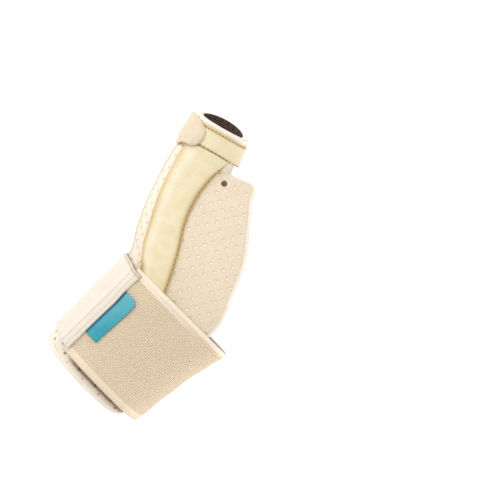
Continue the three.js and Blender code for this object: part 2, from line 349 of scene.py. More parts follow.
def rim_triangles(fine, coarse):
    """Triangles between a border and one with half as many points."""
    f0, f1, f2 = fine[0::2], fine[1::2], np.roll(fine[0::2], -1)
    c0, c1 = coarse, np.roll(coarse, -1)
    return np.concatenate([np.stack(corners, -1)
                           for corners in [(f0, c0, f1), (f1, c0, c1), (f1, c1, f2)]])


def along_grid(points, axis):
    """How far each point of a grid is from the grid's first and last line, along one axis."""
    steps = np.linalg.norm(np.diff(points, axis=axis), axis=-1)
    pad = [(0, 0), (0, 0)]
    pad[axis] = (1, 0)
    run = np.pad(np.cumsum(steps, axis), pad)
    return run, run.max(axis, keepdims=True) - run


def laid_out(chart, columns, rows, flat=cloth_place):
    """A grid on the bare sleeve. chart gives (angle, v) from (s, t) in 0 to 1, and flat gives the
    flat places. left, right, low and high are the distances in mm from the four edges, sides and
    ends the lesser of each pair, and edge the least of all."""
    s, t = np.meshgrid(np.linspace(0, 1, columns + 1), np.linspace(0, 1, rows + 1))
    angle, v = np.broadcast_arrays(*chart(s, t))
    points = face_point(angle, v)
    left, right = along_grid(points, 1)
    low, high = along_grid(points, 0)
    sides, ends = np.minimum(left, right), np.minimum(low, high)
    return SimpleNamespace(s=s, t=t, angle=angle, v=v, place=flat(angle, v), left=left, right=right,
                           low=low, high=high, sides=sides, ends=ends, edge=np.minimum(sides, ends))


print("a grid of 4 x 2 cells has a border of", len(border(4, 2)), "points")


# %% Closed sheets of cloth
def signed_volume(points, quads, triangles):
    """Six times a closed mesh's volume, negative where its faces point inwards."""
    parts = [quads[:, [0, 1, 2]], quads[:, [0, 2, 3]], triangles]
    a, b, c = (points[np.concatenate(parts)[:, k]] for k in range(3))
    return np.einsum("ij,ij->", a, np.cross(b, c))


def cloth_sheet(name, materials, grid, chart, outer, inner, shift=None, marks=None,
                flat=cloth_place):
    """A closed sheet. outer and inner give the two faces' offsets from the sleeve at a laid-out
    grid, shift moves the points afterwards, and marks gives named numbers for the material."""
    faces, points, places, numbers = [], [], [], []
    for (columns, rows), offset in [(grid, outer), ([n // 2 for n in grid], inner)]:
        spot = laid_out(chart, columns, rows, flat)
        layer = off_point(spot.angle, spot.v, offset(spot))
        if shift:
            layer = layer + shift(spot)
        faces.append(grid_quads(columns, rows, sum(len(p) for p in points)))
        points.append(layer.reshape(-1, 3))
        places.append(spot.place.reshape(-1, 2))
        numbers.append({k: x.ravel() for k, x in (marks(spot) if marks else {}).items()})
    half = [n // 2 for n in grid]
    rim = rim_triangles(border(*grid), border(*half, len(points[0])))
    all_points = np.concatenate(points)
    quads = np.concatenate([faces[0], faces[1][:, ::-1]])
    if signed_volume(all_points, quads, rim) < 0:
        quads, rim = quads[:, ::-1], rim[:, ::-1]
    slots = np.repeat([0, len(materials) - 1, 0], [len(faces[0]), len(faces[1]), len(rim)])
    return new_piece(name, all_points, quads.tolist() + rim.tolist(), materials,
                     np.concatenate(places),
                     {k: np.concatenate([n[k] for n in numbers]) for k in numbers[0]}, slots)


# %% Profiles of edges and seams
def even_count(length, cell):
    """An even number of cells that fill a length."""
    return 2 * max(1, round(length / cell / 2))


def rolled(distance, radius):
    """How far a rounded edge has dropped at a distance from the cloth's edge: a quarter circle."""
    inside = np.clip(1 - distance / radius, 0, 1)
    return radius * (1 - np.sqrt(1 - inside**2))


def groove(distance, centre, width):
    """A soft channel, 1 at its centre and 0 a width away from it."""
    return np.exp(-(((distance - centre) / width * 1.7) ** 2))


print("half a millimetre in, an edge rolled to 1 mm is", rolled(0.5, 1.0).round(2), "mm lower")

# %% [markdown]
# Sewing thread lies on the cloth in short strokes and dives into it at both ends. Each stitch is
# a small capsule of about thirty faces. A row of them is worked out as one array: the path is
# measured, the stitches are set along it at their pitch, and all of them become one mesh.

# %% Stitches
STITCH_SIDES = 6
STITCH_HUMP = 0.12
LIGHT = 1e-3  # normals ride along with a path's points, at so small a weight that its length stays


def even_path(points, count):
    """A path resampled to points at even distances, and its length."""
    run = np.r_[0, np.cumsum(np.linalg.norm(np.diff(points, axis=0), axis=-1))]
    wanted = np.linspace(0, run[-1], count)
    return np.stack([np.interp(wanted, run, axis) for axis in points.T], -1), run[-1]


def capsules(starts, ends, normals, radius):
    """A capsule from each start to each end. Its middle is lifted along its normal by the hump,
    and its ends dive by as much."""
    share = np.array([0.0, 0.12, 0.35, 0.65, 0.88, 1.0])
    girth = np.array([0.35, 0.85, 1.0, 1.0, 0.85, 0.35])
    height = np.array([-1.0, -0.1, 1.0, 1.0, -0.1, -1.0]) * STITCH_HUMP
    turn = np.arange(STITCH_SIDES) * TURN / STITCH_SIDES
    across = unit(np.cross(ends - starts, normals))
    middle = (starts[:, None] + (ends - starts)[:, None] * share[:, None]
              + normals[:, None] * height[:, None])
    ring = (across[:, None, None] * np.cos(turn)[:, None]
            + normals[:, None, None] * np.sin(turn)[:, None])
    points = middle[:, :, None] + ring * (girth * radius)[:, None, None]
    rings, sides = len(share), STITCH_SIDES
    i, j = np.meshgrid(np.arange(sides), np.arange(rings - 1))
    first, after = (j * sides + i).ravel(), (j * sides + (i + 1) % sides).ravel()
    tube = np.stack([first, first + sides, after + sides, after], -1)
    caps = np.stack([np.arange(sides), np.arange(sides)[::-1] + (rings - 1) * sides])
    start = (np.arange(len(starts)) * rings * sides)[:, None, None]
    quads = (tube + start).reshape(-1, 4).tolist()
    ends_ = (caps + start).reshape(-1, sides).tolist()
    return points.reshape(-1, 3), quads + ends_


def stitched(paths, pitch, share, radius):
    """Rows of stitches along paths, each given as points and normals. A stitch takes a share of
    the pitch, and the rest is the gap to the next one."""
    parts, faces = [], []
    for points, normals in paths:
        run = np.linalg.norm(np.diff(points, axis=0), axis=-1).sum()
        count = max(2, round(run / pitch))
        ends, _ = even_path(np.c_[points, normals * LIGHT], 2 * count + 1)
        here, there = ends[0:-1:2], ends[1::2]
        start, far = here[:, :3], here[:, :3] + (ends[2::2, :3] - here[:, :3]) * share
        made, quads = capsules(start, far, unit(there[:, 3:]), radius)
        base = sum(len(part) for part in parts)
        faces += [[index + base for index in face] for face in quads]
        parts.append(made)
    return np.concatenate(parts), faces


short_row = np.array([[0.0, 0.0, 0.0], [3.0, 0.0, 0.0]]), np.array([[0.0, 0.0, 1.0]] * 2)
print("faces of two stitches in a row of 3 mm:", len(stitched([short_row], 2, 0.6, 0.2)[1]))


# %% Swept trims
TRIM_SIDES = 12
TRIM_CELL = 0.7


def on_sleeve(angle, v, offset, shift=None):
    """A path on the sleeve as points and normals, for stitches and trims."""
    angle, v, offset = np.broadcast_arrays(*[np.asarray(x, float) for x in (angle, v, offset)])
    points = off_point(angle, v, offset)
    return (points if shift is None else points + shift), normal_at(angle, v)


def swept(points, normals, half_out, half_up):
    """A trim swept along a path: a squared oval, half_out to each side along the cloth and
    half_up to each side of it. Its ends are rounded off over the last points."""
    count, sides = len(points), TRIM_SIDES
    along = unit(np.r_[points[1:], points[-1:]] - np.r_[points[:1], points[:-1]])
    normals = unit(normals - along * np.einsum("ij,ij->i", along, normals)[:, None])
    out = np.cross(along, normals)
    turn = np.arange(sides) * TURN / sides
    cos, sin = power(np.cos(turn), 0.7), power(np.sin(turn), 0.7)
    size = np.minimum(1, np.minimum(np.arange(count), np.arange(count)[::-1]) / 3 * 0.6 + 0.4)
    section = (out[:, None] * cos[:, None] * half_out + normals[:, None] * sin[:, None] * half_up)
    ring = points[:, None] + section * size[:, None, None]
    j, i = np.meshgrid(np.arange(count - 1), np.arange(sides), indexing="ij")
    first, turned = (j * sides + i).ravel(), (j * sides + (i + 1) % sides).ravel()
    quads = np.stack([first, turned, turned + sides, first + sides], -1).tolist()
    caps = [list(range(sides))[::-1], [(count - 1) * sides + i for i in range(sides)]]
    return ring.reshape(-1, 3), quads + caps


def made_trim(name, material, path, half_out, half_up):
    """A trim along a path of points and normals, with its own length and girth as its cloth map."""
    points, normals = path
    count = round(np.linalg.norm(np.diff(points, axis=0), axis=-1).sum() / TRIM_CELL)
    both, run = even_path(np.c_[points, normals * LIGHT], count)
    ring, faces = swept(both[:, :3], unit(both[:, 3:]), half_out, half_up)
    along = np.repeat(np.linspace(0, run, count), TRIM_SIDES)
    girth = (half_out + half_up) * 4
    round_ = np.tile(np.arange(TRIM_SIDES) * girth / TRIM_SIDES, count)
    piece = new_piece(name, ring, faces, [material], np.c_[along, round_])
    print(name, "has", len(piece.data.polygons), "faces")


wrist_line, _ = on_sleeve(np.linspace(0, np.pi, 9), 1.0, 0.0)
print("round the palm side in 9 points, mm:", round(float(even_path(wrist_line, 9)[1]), 1))

# %% [markdown]
# One small function adds a shader node, sets it and links it. Colours are picked as sRGB hex, as
# a swatch book gives them, and one function turns them to the linear values that a shader takes.

# %% Colours and nodes
def linear(swatch):
    """An sRGB hex colour as linear RGBA."""
    parts = [int(swatch[i:i + 2], 16) / 255 for i in (1, 3, 5)]
    return (*[x / 12.92 if x <= 0.04045 else ((x + 0.055) / 1.055) ** 2.4 for x in parts], 1)


def add(tree, kind, *inputs, out=None, **settings):
    """Adds a shader node with its settings and gives its output. The inputs fill its sockets in
    order. Each is a value, a swatch or an output to link from, and None leaves the socket."""
    node = tree.nodes.new("ShaderNode" + kind)
    for key, value in settings.items():
        setattr(node, key, value)
    sockets = [socket for socket in node.inputs if socket.enabled]
    for socket, value in zip(sockets, inputs):
        if isinstance(value, bpy.types.NodeSocket):
            tree.links.new(value, socket)
        elif value is not None:
            socket.default_value = linear(value) if isinstance(value, str) else value
    return node.outputs[out] if out else next(socket for socket in node.outputs if socket.enabled)


print("a middle grey swatch is", round(linear("#808080")[0], 3), "in linear light")


# %% Materials of cloth
def new_material(name, roughness, sheen=0.0, sheen_tint="#ffffff", sheen_roughness=0.5):
    """A cloth material, its shader, and the function that adds nodes to it. Cloth is a dielectric;
    its sheen is the light that loose fibre ends catch at a flat angle."""
    material = bpy.data.materials.new(name)
    material.use_nodes = True
    shader = material.node_tree.nodes["Principled BSDF"]
    shader.inputs["Roughness"].default_value = roughness
    shader.inputs["Specular IOR Level"].default_value = 0.25
    shader.inputs["Sheen Weight"].default_value = sheen
    shader.inputs["Sheen Roughness"].default_value = sheen_roughness
    shader.inputs["Sheen Tint"].default_value = linear(sheen_tint)
    return material, shader, partial(add, material.node_tree)


def finished(material, shader, node, colour, height, depth):
    """Links a colour to the shader, and a height from 0 to 1 as relief of a real depth in mm."""
    relief = node("Bump", 1.0, depth * MM, None, height)
    material.node_tree.links.new(colour, shader.inputs["Base Color"])
    material.node_tree.links.new(relief, shader.inputs["Normal"])
    return material


def layered(node, colour, layers):
    """Lays colours over a colour one after another, each a cover, its share and its colour."""
    for cover, share, top in layers:
        if share < 1:
            cover = node("Math", cover, share, operation="MULTIPLY")
        colour = node("Mix", cover, colour, top, data_type="RGBA")
    return colour


def crossed_threads(node, flat, along, across, turn=0.0):
    """A woven or knitted height from 0 to 1, with a row of loops every along mm and every across
    mm: the size of the sine in one direction times that in the other."""
    turned = node("Mapping", flat, None, (0, 0, turn), (np.pi / along, np.pi / across, 0))
    waves = [node("Math", node("SeparateXYZ", turned, out=axis), operation="SINE") for axis in "XY"]
    loops = [node("Math", wave, operation="ABSOLUTE") for wave in waves]
    return node("Math", *loops, operation="MULTIPLY")


# %% [markdown]
# The sleeve is foam, perforated on a square grid so that the skin can breathe, with a fine warp
# knit laminated over it. The knit sinks into each hole and makes a soft dimple. At the cuff and,
# less, round the radial side the knit is painted paler, as painted light, and its holes dark brown,
# as painted shade in them. The grid could be a texture alone, but a dimple two millimetres wide
# catches real light, so the mesh has it too, and both read the same grid.

# %% The grid of perforations
PERFORATION_PITCH = 5.0
PERFORATION_TURN = np.radians(30)
PERFORATION_SKEW = 0.1
PERFORATION_START = (-0.26, -0.42)
DIMPLE_RADIUS = 0.95
DIMPLE_DEPTH = 0.55
KNIT_PITCH = 0.8

grid_right = np.array([np.cos(PERFORATION_TURN), -np.sin(PERFORATION_TURN)])
grid_up = np.array([np.sin(PERFORATION_TURN), np.cos(PERFORATION_TURN)])
PERFORATION_AXES = np.array([grid_right, grid_up - PERFORATION_SKEW * grid_right])
PERFORATION_AXES /= PERFORATION_PITCH


def to_perforation(place):
    """The distance in mm from each flat place to the nearest hole of the grid."""
    cell = place @ PERFORATION_AXES.T + PERFORATION_START
    return PERFORATION_PITCH * np.linalg.norm(cell - np.round(cell), axis=-1)


def perforation_nodes(node, flat):
    """The same distance, as nodes: for each axis the part of a cell away from its middle."""
    squares = []
    for axis, start in zip(PERFORATION_AXES, PERFORATION_START):
        along = node("VectorMath", flat, (*axis, 0), operation="DOT_PRODUCT")
        shifted = node("Math", along, start + 0.5, operation="ADD")
        cell = node("Math", shifted, operation="FRACT")
        away = node("Math", cell, 0.5, operation="SUBTRACT")
        squares.append(node("Math", away, away, operation="MULTIPLY"))
    square = node("Math", *squares, operation="ADD")
    return node("Math", node("Math", square, operation="SQRT"), PERFORATION_PITCH,
                operation="MULTIPLY")


print("perforations every", PERFORATION_PITCH, "mm, and the nearest to the flat map's origin is",
      to_perforation(np.zeros(2)).round(2), "mm from it")


# %% Finish of the sleeve
def perforated_knit():
    """Cream warp knit over perforated foam: matt, with a fine diagonal loop and a faint sheen."""
    material, shader, node = new_material("perforated_knit", 0.85, 0.25, "#fff8ee", 0.45)
    flat = node("UVMap", uv_map="cloth")
    whole, gaping, edging, shade = (
        node("Attribute", attribute_name=name, out="Fac")
        for name in ("unpunched", "gaping", "edging", "shade"))
    smooth = {"interpolation_type": "SMOOTHSTEP"}
    hole = perforation_nodes(node, flat)
    core = node("MapRange", hole, DIMPLE_RADIUS, 0.45, 0, 1, **smooth)
    core = node("Math", core, node("Math", 1.0, whole, operation="SUBTRACT"),
                operation="MULTIPLY")
    # The lip is a darker ring painted round each dimple, as the shade at its edge.
    outer_lip = node("MapRange", hole, 1.5, DIMPLE_RADIUS, 0, 1, **smooth)
    inner_lip = node("MapRange", hole, 0.6, DIMPLE_RADIUS, 0, 1, **smooth)
    lip = node("Math", outer_lip, inner_lip, operation="MULTIPLY")
    cloudy = node("TexNoise", flat, 1 / 9, 3, 0.5)
    mottled = node("TexNoise", flat, 1 / 1.3, 3, 0.7)
    spots = node("MapRange", mottled, 0.4, 0.8, 0, 0.5, **smooth)
    knit = crossed_threads(node, flat, KNIT_PITCH, KNIT_PITCH, np.radians(45))
    # At the cuff and, less, round the radial side the holes are painted dark brown as shade, and
    # the knit is painted paler as light.
    hole_colour = node("Mix", gaping, "#fff8e8", "#7d6448", data_type="RGBA")
    body = node("Mix", cloudy, "#eddac0", "#f4e5cd", data_type="RGBA")
    # The hem's pale colour also carries painted light on the radial side and in the crotch of the
    # web, and the last layer is painted shade.
    layers = [(spots, 1.0, "#e8cfae"), (knit, 0.22, "#faf1e0"), (lip, 0.4, "#dcbf98"),
              (gaping, 0.9, "#f7ecdf"), (edging, 1.0, "#fbf4e6"), (core, 1.0, hole_colour),
              (shade, 1.0, "#86673a")]
    body = layered(node, body, layers)
    fuzz = node("TexNoise", flat, 1 / 0.35, 3, 0.5)
    height = node("Math", knit, 0.35, node("Math", fuzz, 0.25, operation="MULTIPLY"),
                  operation="MULTIPLY_ADD")
    height = node("Math", height, node("Math", core, 0.5, operation="MULTIPLY"),
                  operation="SUBTRACT")
    return finished(material, shader, node, body, height, 0.35)


def lining_knit():
    """The skin side: a dark brown knit, matt and a little furred."""
    material, shader, node = new_material("lining_knit", 0.95, 0.15, "#d8c4b0")
    flat = node("UVMap", uv_map="cloth")
    loops = crossed_threads(node, flat, 0.9, 1.2)
    colour = node("Mix", loops, "#3d2f28", "#6b574a", data_type="RGBA")
    return finished(material, shader, node, colour, loops, 0.25)


PERFORATED_KNIT = perforated_knit()
LINING_KNIT = lining_knit()
print("nodes of the perforated knit:", len(PERFORATED_KNIT.node_tree.nodes))

# %% [markdown]
# Two panels make the sleeve. They meet in seams up the radial side and over the web, and their
# other edges stay open, where the hand comes out. The panel's chart repeats the CAD's: from the
# free edge to the radial seam, with the cuff's corner rounded off.

# %% Where the panels lie
CELL = 0.5
PANEL_SPAN = (110, 145)
CORNER_SHARE = 0.12
PANEL_DRIFT = 0.35
HEM_SEAM = 2.0
STRAP_WIDTH = 57
STRAP_TOP = STRAP_WIDTH / 2


def even_places(start, end):
    """A function from a share of the sleeve's length to the place v there."""
    v = np.linspace(start, end, 1001)
    lines = face_point(np.array([[0.9], [np.pi / 2], [np.pi]]), v[None])
    run = np.cumsum(np.linalg.norm(np.diff(lines, axis=1), axis=-1).mean(0))
    return lambda t: np.interp(t, np.r_[0, run] / run[-1], v)


def seam_angle(v):
    """Half a seam's gap as an angle, at the two ends of the loop."""
    depth = np.minimum(at("palm", v), at("dorsal", v)) * (1 - at("taper", v))
    return (SEAM_GAP / 2 / depth) ** (at("square", v) / 2)


panel_place = even_places(0, RIM)


def panel_chart(side):
    """side is 1 for the palm and -1 for the back of the hand."""
    edge = "palm_edge" if side > 0 else "dorsal_edge"

    def chart(s, t):
        v = panel_place(t)
        lift = np.maximum(0, 1 - s / CORNER_SHARE)
        corner = CUFF_CORNER / CUFF_DROP * (1 - np.sqrt(1 - lift**2))
        v = v + corner * np.maximum(0, 1 - v)
        start = np.maximum(angle_at(at(edge, v), v), seam_angle(v))
        return evenly(side * start, side * (np.pi - seam_angle(v)), s, v), v

    return chart


def drooped(spot):
    """The cuff hangs a little lower in the middle of each panel."""
    droop = CUFF_DROOP * np.maximum(0, 1 - panel_place(spot.t)) ** 2 * np.abs(np.sin(spot.angle))
    return droop[..., None] * [0, 0, -1.0]


print("the strap's upper edge is", STRAP_TOP, "mm up, at place",
      round(float(place_at_height(STRAP_TOP)), 2))


# %% Relief and marks of the panels
def strap_fold(spot):
    """1 in the fold that the strap's flared lower edge covers, on the palm side of the cuff."""
    below = -STRAP_TOP - face_point(spot.angle, spot.v)[..., 2] - drooped(spot)[..., 2]
    palm_side = ease(spot.angle, 0.35, 0.9) * (1 - ease(spot.angle, 1.85, 2.15))
    return (1 - ease(below, 1.2, 3.2)) * (1 - ease(spot.v, 0.9, 1.0)) * palm_side


def above_web(spot):
    """1 in the crotch between the web and the band."""
    return ease(spot.v, WEB - 0.2, WEB + 0.2) * (1 - ease(np.abs(spot.angle), 1.0, 1.4))


def unpunched(spot):
    """1 near the edges, along the cuff's hem and in the crotch of the web, where no hole is."""
    sides = 1 - ease(spot.sides, 1.6, 2.4)
    ends = 1 - ease(np.minimum(spot.low, spot.high + 1), 2.0, 2.8)
    return np.maximum(np.maximum(sides, ends), above_web(spot))


def padding_drift(place):
    """How far the padding sinks, as a soft noise over the flat map."""
    return PANEL_DRIFT * (0.5 + 0.5 * smooth_noise(place, 26, 3))


def panel_face(spot):
    """Dimples, soft drift of the padding and rolled edges, all inwards from the CAD's face."""
    hole = to_perforation(spot.place)
    dimple = DIMPLE_DEPTH * (1 - ease(hole, 0.3, DIMPLE_RADIUS)) * (1 - unpunched(spot))
    drift = padding_drift(spot.place) * ease(spot.edge, 1.2, 2.4)
    hem = 0.3 * groove(np.minimum(spot.left, spot.low), HEM_SEAM, 0.6)
    return -dimple - drift - hem - 0.9 * strap_fold(spot) - rolled(spot.edge, 0.9)


def panel_marks(spot):
    """Marks for the material. At the cuff and, less, round the radial side the knit is painted
    paler, as light, and its holes darker, as shade. The pale turned hem also carries painted light
    on the radial side and in the crotch of the web. shade is painted shade in the fold that the
    strap keeps dark, and also makes the sleeve's lower part a little darker."""
    side = 0.25 * ease(np.abs(spot.angle), 2.35, 2.7)
    hem = np.minimum(spot.left, spot.low)
    pale = np.maximum(2 * side, 0.95 * above_web(spot))
    return {"gaping": np.maximum(side, 0.8 * (1 - ease(spot.v, 0.1, 0.4))),
            "edging": np.maximum(0.85 * (1 - ease(hem, HEM_SEAM - 0.3, HEM_SEAM + 0.3)), pale),
            "unpunched": unpunched(spot),
            "shade": np.maximum(0.8 * strap_fold(spot), 0.06 * (1 - ease(spot.v, 2.2, 4.2)))}


whole_panel = laid_out(panel_chart(1), 40, 40)
print("deepest relief of the palm panel, mm:", panel_face(whole_panel).min().round(2))


# %% The two panels
def panel_sheet(name, side):
    """One panel with its lining."""
    grid = [even_count(length, CELL) for length in PANEL_SPAN]
    sheet = cloth_sheet(name, [PERFORATED_KNIT, LINING_KNIT], grid, panel_chart(side),
                        panel_face, lambda spot: -PANEL_WALL + 0 * spot.v, drooped, panel_marks,
                        lambda angle, v: cloth_place(np.abs(angle), v))
    return sheet


palm_sleeve = panel_sheet("palm_sleeve", 1)
dorsal_sleeve = panel_sheet("dorsal_sleeve", -1)
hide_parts("palm_panel")
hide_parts("dorsal_panel")
print("faces of the two panels:", [len(o.data.polygons) for o in (palm_sleeve, dorsal_sleeve)])

# %% [markdown]
# The pocket, the band and the tab round the thumb are brushed loop plush: a warm pale yellow pile.
# A seam presses it flat, and there it is painted deeper in colour, partly as the shade in the
# seam's groove. Real hair would be far too fine to see from here, so the pile is sheen, a mottled
# colour and a fine relief.

# %% Finish of the plush
def plush_loop(name, light, deep, pressed_and_shaded_colour):
    """Brushed loop pile: very rough, with a strong soft sheen, mottled by the lie of the pile."""
    material, shader, node = new_material(name, 1.0, 0.4, "#fff6e2", 0.6)
    flat = node("UVMap", uv_map="cloth")
    rubbed = node("Attribute", attribute_name="rubbed", out="Fac")
    pressed = node("Attribute", attribute_name="pressed", out="Fac")
    lie = node("TexNoise", flat, 1 / 7, 3, 0.6)
    lie = node("MapRange", lie, 0.3, 0.7, 0, 1, interpolation_type="SMOOTHSTEP")
    pile = node("TexNoise", flat, 1 / 0.5, 3, 0.7)
    tufts = node("MapRange", pile, 0.35, 0.65, 0, 1, interpolation_type="SMOOTHSTEP")
    body = node("Mix", lie, deep, light, data_type="RGBA")
    # Painted light and shade: a painted highlight on the pocket's radial shoulder, then the seam
    # colour, partly pressed pile and partly painted shade.
    body = layered(node, body, [(tufts, 0.35, light), (rubbed, 1.0, "#fbf5e6"),
                                (pressed, 1.0, pressed_and_shaded_colour)])
    return finished(material, shader, node, body, pile, 0.3)


def woven_tape(name, light, dark, rib, depth):
    """Woven ribbon tape: fine ribs across it and a soft, slightly shiny face."""
    material, shader, node = new_material(name, 0.75, 0.2, "#ffffff", 0.4)
    flat = node("UVMap", uv_map="cloth")
    ribs = crossed_threads(node, flat, rib, rib * 0.7)
    cloudy = node("TexNoise", flat, 1 / 6, 2, 0.5)
    face = node("Mix", ribs, dark, light, data_type="RGBA")
    face = layered(node, face, [(cloudy, 0.3, light)])
    return finished(material, shader, node, face, ribs, depth)


PLUSH = plush_loop("plush_loop", "#f1e4c2", "#ebdab2", "#cba968")
PALE_PLUSH = plush_loop("pale_plush_loop", "#e7d9c0", "#e0cfae", "#d3b985")
BINDING_TAPE = woven_tape("binding_tape", "#fdf8ef", "#f1e8da", 0.5, 0.06)
print("nodes of the plush and of the tape:", len(PLUSH.node_tree.nodes),
      len(BINDING_TAPE.node_tree.nodes))

# %% [markdown]
# The stay pocket is a padded channel. It is sewn down along both sides, so its flange is flat, the
# seam is a groove, and the filling rises in a rounded shoulder between the two grooves. Cloth
# simulation could blow it up from a flat piece, but its shape is held by a stay and two seams, so
# a profile across it gives the same form exactly, and stays off the strap that presses its foot.

# %% Edges of the stay pocket
BAND_WIDTH = 13
BAND_WALL = 1.6
THUMB_TAB_WIDTH = 15.5
POCKET = {"hem": 1, "fill": 2.2, "tuck": 9, "tuck_fill": 0.4, "tab_fill": 0.2}
FLANGE = 1.1
SHOULDER = 3.4
EDGE_FOOT = 10
EDGE_STEP = 10
EDGE_PLACES = PLACES[::20]
PLUSH_CELL = 0.55
POCKET_SPAN = (28, 88)
POCKET_EDGES = {
    "palm": [3.0, -0.9, -5.3, -10.3, -16.1, -22.7, -27.4, -30.1, -31.3, -31.3, -31.0, -31.0],
    "side": [-10.0, -16.5, -24.3, -32.6, -38.2, -43.8, -48.2, -51.5, -54.4, -56.5, -58.0, -59.0]}
CALM = 5.0

pocket_foot = place_at_height(STRAP_TOP - POCKET["tuck"])
strap_edge = place_at_height(STRAP_TOP)
band_foot = place_below_rim(BAND_WIDTH)
pocket_head = place_below_rim(BAND_WIDTH + LAYER_GAP)
thumb_tab_foot = place_below_rim(THUMB_TAB_WIDTH)
pocket_place = even_places(pocket_foot, pocket_head)


def edge_share(which):
    """The share of the sleeve's width, at each of the places, where the loop there crosses one of
    the pocket's edges. An edge is given as x at even heights z, with a smooth curve between."""
    across = np.array(POCKET_EDGES[which], float)
    shares = np.linspace(0.01, 0.99, 99)
    crossings = []
    for v in EDGE_PLACES:
        x, _, z = face_point(angle_at(shares, np.full(99, v)), np.full(99, v)).T
        step = np.clip((z - EDGE_FOOT) / EDGE_STEP, 0, len(across) - 1.001)
        edge = cubic(across, np.gradient(across), step)
        crossings.append(np.interp(0, x - edge, shares))
    return np.array(crossings)


palm_share, side_share = edge_share("palm"), edge_share("side")


def pocket_chart(s, t):
    """From the palm edge to the radial one, and from below the strap up to the band."""
    v = pocket_place(t)
    start = angle_at(np.interp(v, EDGE_PLACES, palm_share), v)
    end = angle_at(np.interp(v, EDGE_PLACES, side_share), v)
    return evenly(start, end, s, v), v


whole_pocket = laid_out(pocket_chart, 40, 40)
print("the pocket is", whole_pocket.right[20, 0].round(1), "mm wide half way up and",
      whole_pocket.high[0, 20].round(1), "mm long")


# %% Filling of the stay pocket
def pocket_fill(s, v):
    """How much of the filling is left: the strap presses the foot and the thumb's tab the head."""
    fill = mix(POCKET["tuck_fill"], 1, ease(v, strap_edge, strap_edge + 0.35))
    under_tab = ease(v, thumb_tab_foot - 1.2, thumb_tab_foot) * ease(s, 0.2, 0.6)
    return mix(fill, POCKET["tab_fill"], under_tab)


def pocket_crown(spot):
    """The flange, and the filled crown with its round shoulder, as a height off the sleeve."""
    rise = np.clip((spot.sides - FLANGE) / SHOULDER, 0, 1)
    crown = np.sqrt(1 - (1 - rise) ** 2) * (0.86 + 0.14 * (1 - (2 * spot.s - 1) ** 2))
    return LAYER_GAP + POCKET["hem"] + POCKET["fill"] * pocket_fill(spot.s, spot.v) * crown


def bridged(spot):
    """The move that carries the stiff pocket straight over the sleeve's crease below the web. The
    crown is averaged along its length with a bell curve, and this is the difference."""
    points = off_point(spot.angle, spot.v, pocket_crown(spot))
    rows = len(points)
    cell = spot.low[-1].mean() / (rows - 1)
    reach = round(2.5 * CALM / cell)
    weights = np.exp(-0.5 * (np.arange(-reach, reach + 1) * cell / CALM) ** 2)
    padded = np.pad(points, [(reach, reach), (0, 0), (0, 0)], "reflect", reflect_type="odd")
    even = sum(w * padded[k:k + rows] for k, w in enumerate(weights)) / weights.sum()
    return (even - points) * ease(spot.t, 0.4, 0.6)[..., None]


print("highest crown of the pocket, mm:", pocket_crown(whole_pocket).max().round(2))


# %% The stay pocket
def pocket_face(spot):
    """The crown with a groove at each seam, the pile's own relief and rolled edges."""
    seam = 0.6 * groove(spot.sides, FLANGE - 0.2, 0.8)
    pile = 0.07 * smooth_noise(spot.place, 1.9, 11) + 0.12 * smooth_noise(spot.place, 14, 12)
    return (pocket_crown(spot) - padding_drift(spot.place) - seam
            + pile * ease(spot.sides, 0.5, 2) - rolled(spot.sides, 0.7) - rolled(spot.ends, 0.5))


def pocket_back(spot):
    """The back follows the padding, and the seams draw its two edges close to the sleeve."""
    return LAYER_GAP * mix(0.3, 1, ease(spot.sides, 0.3, 1.5)) - padding_drift(spot.place)


def pocket_marks(spot):
    """Both seams press the pile and it is painted deeper there, partly as the shade in the groove;
    on the radial side that painted shade is wider and strongest at the foot. The radial shoulder
    beside it gets a painted highlight."""
    rubbed = ease(spot.right, 4.0, 6.5) * (1 - ease(spot.right, 6.5, 10.5))
    radial = mix(0.85, 0.45, ease(spot.t, 0.35, 0.8)) * (1 - ease(spot.right, 2.2, 5.0))
    return {"pressed": np.maximum(0.9 * groove(spot.left, FLANGE, 2.0), radial),
            "rubbed": 0.35 * rubbed}


pocket_grid = [even_count(length, PLUSH_CELL) for length in POCKET_SPAN]
stay_cover = cloth_sheet("stay_cover", [PLUSH], pocket_grid, pocket_chart, pocket_face,
                         pocket_back, bridged, pocket_marks)
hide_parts("stay_pocket")
print("cells of the pocket, across and along:", pocket_grid)

# %% [markdown]
# The band is a ring of plush over the panels that holds the thumb tube closed. A cylinder could be
# bent to it, but the tube is a squared oval that leans, so the band is a sheet like the others
# whose chart runs once round the loop. Its two ends meet at the web, where the real one is joined.

# %% The band
BAND_SEAM = 2.9
BAND_HEM = 0.35
RING_START = -0.06
rim_length = float(length_at(TURN, float(RIM)))


def ring_chart(start, end):
    """Once round the loop, from place start to place end. The ends meet at the web side."""
    def chart(s, t):
        v = mix(start, end, t)
        return evenly(RING_START + 0 * v, RING_START + TURN + 0 * v, s, v), v
    return chart


def band_face(spot):
    """Plush with a channel where its upper stitch line runs, and a few soft creases."""
    seam = 0.4 * groove(spot.high, BAND_SEAM, 0.9)
    crease = 0.12 * smooth_noise(spot.place * [0.35, 1.0], 5, 21)
    return (LAYER_GAP + BAND_WALL - seam + crease * ease(spot.ends, 0.5, 2)
            - rolled(spot.low, 1.0) - rolled(spot.high, 0.6))


def band_marks(spot):
    """Along the upper seam and, less, at the lower edge the seam presses the pile, and it is
    painted deeper, partly as shade.
    """
    return {"pressed": 0.3 * groove(spot.low, 0, 1.2) + 0.8 * groove(spot.high, BAND_SEAM, 1.5)}


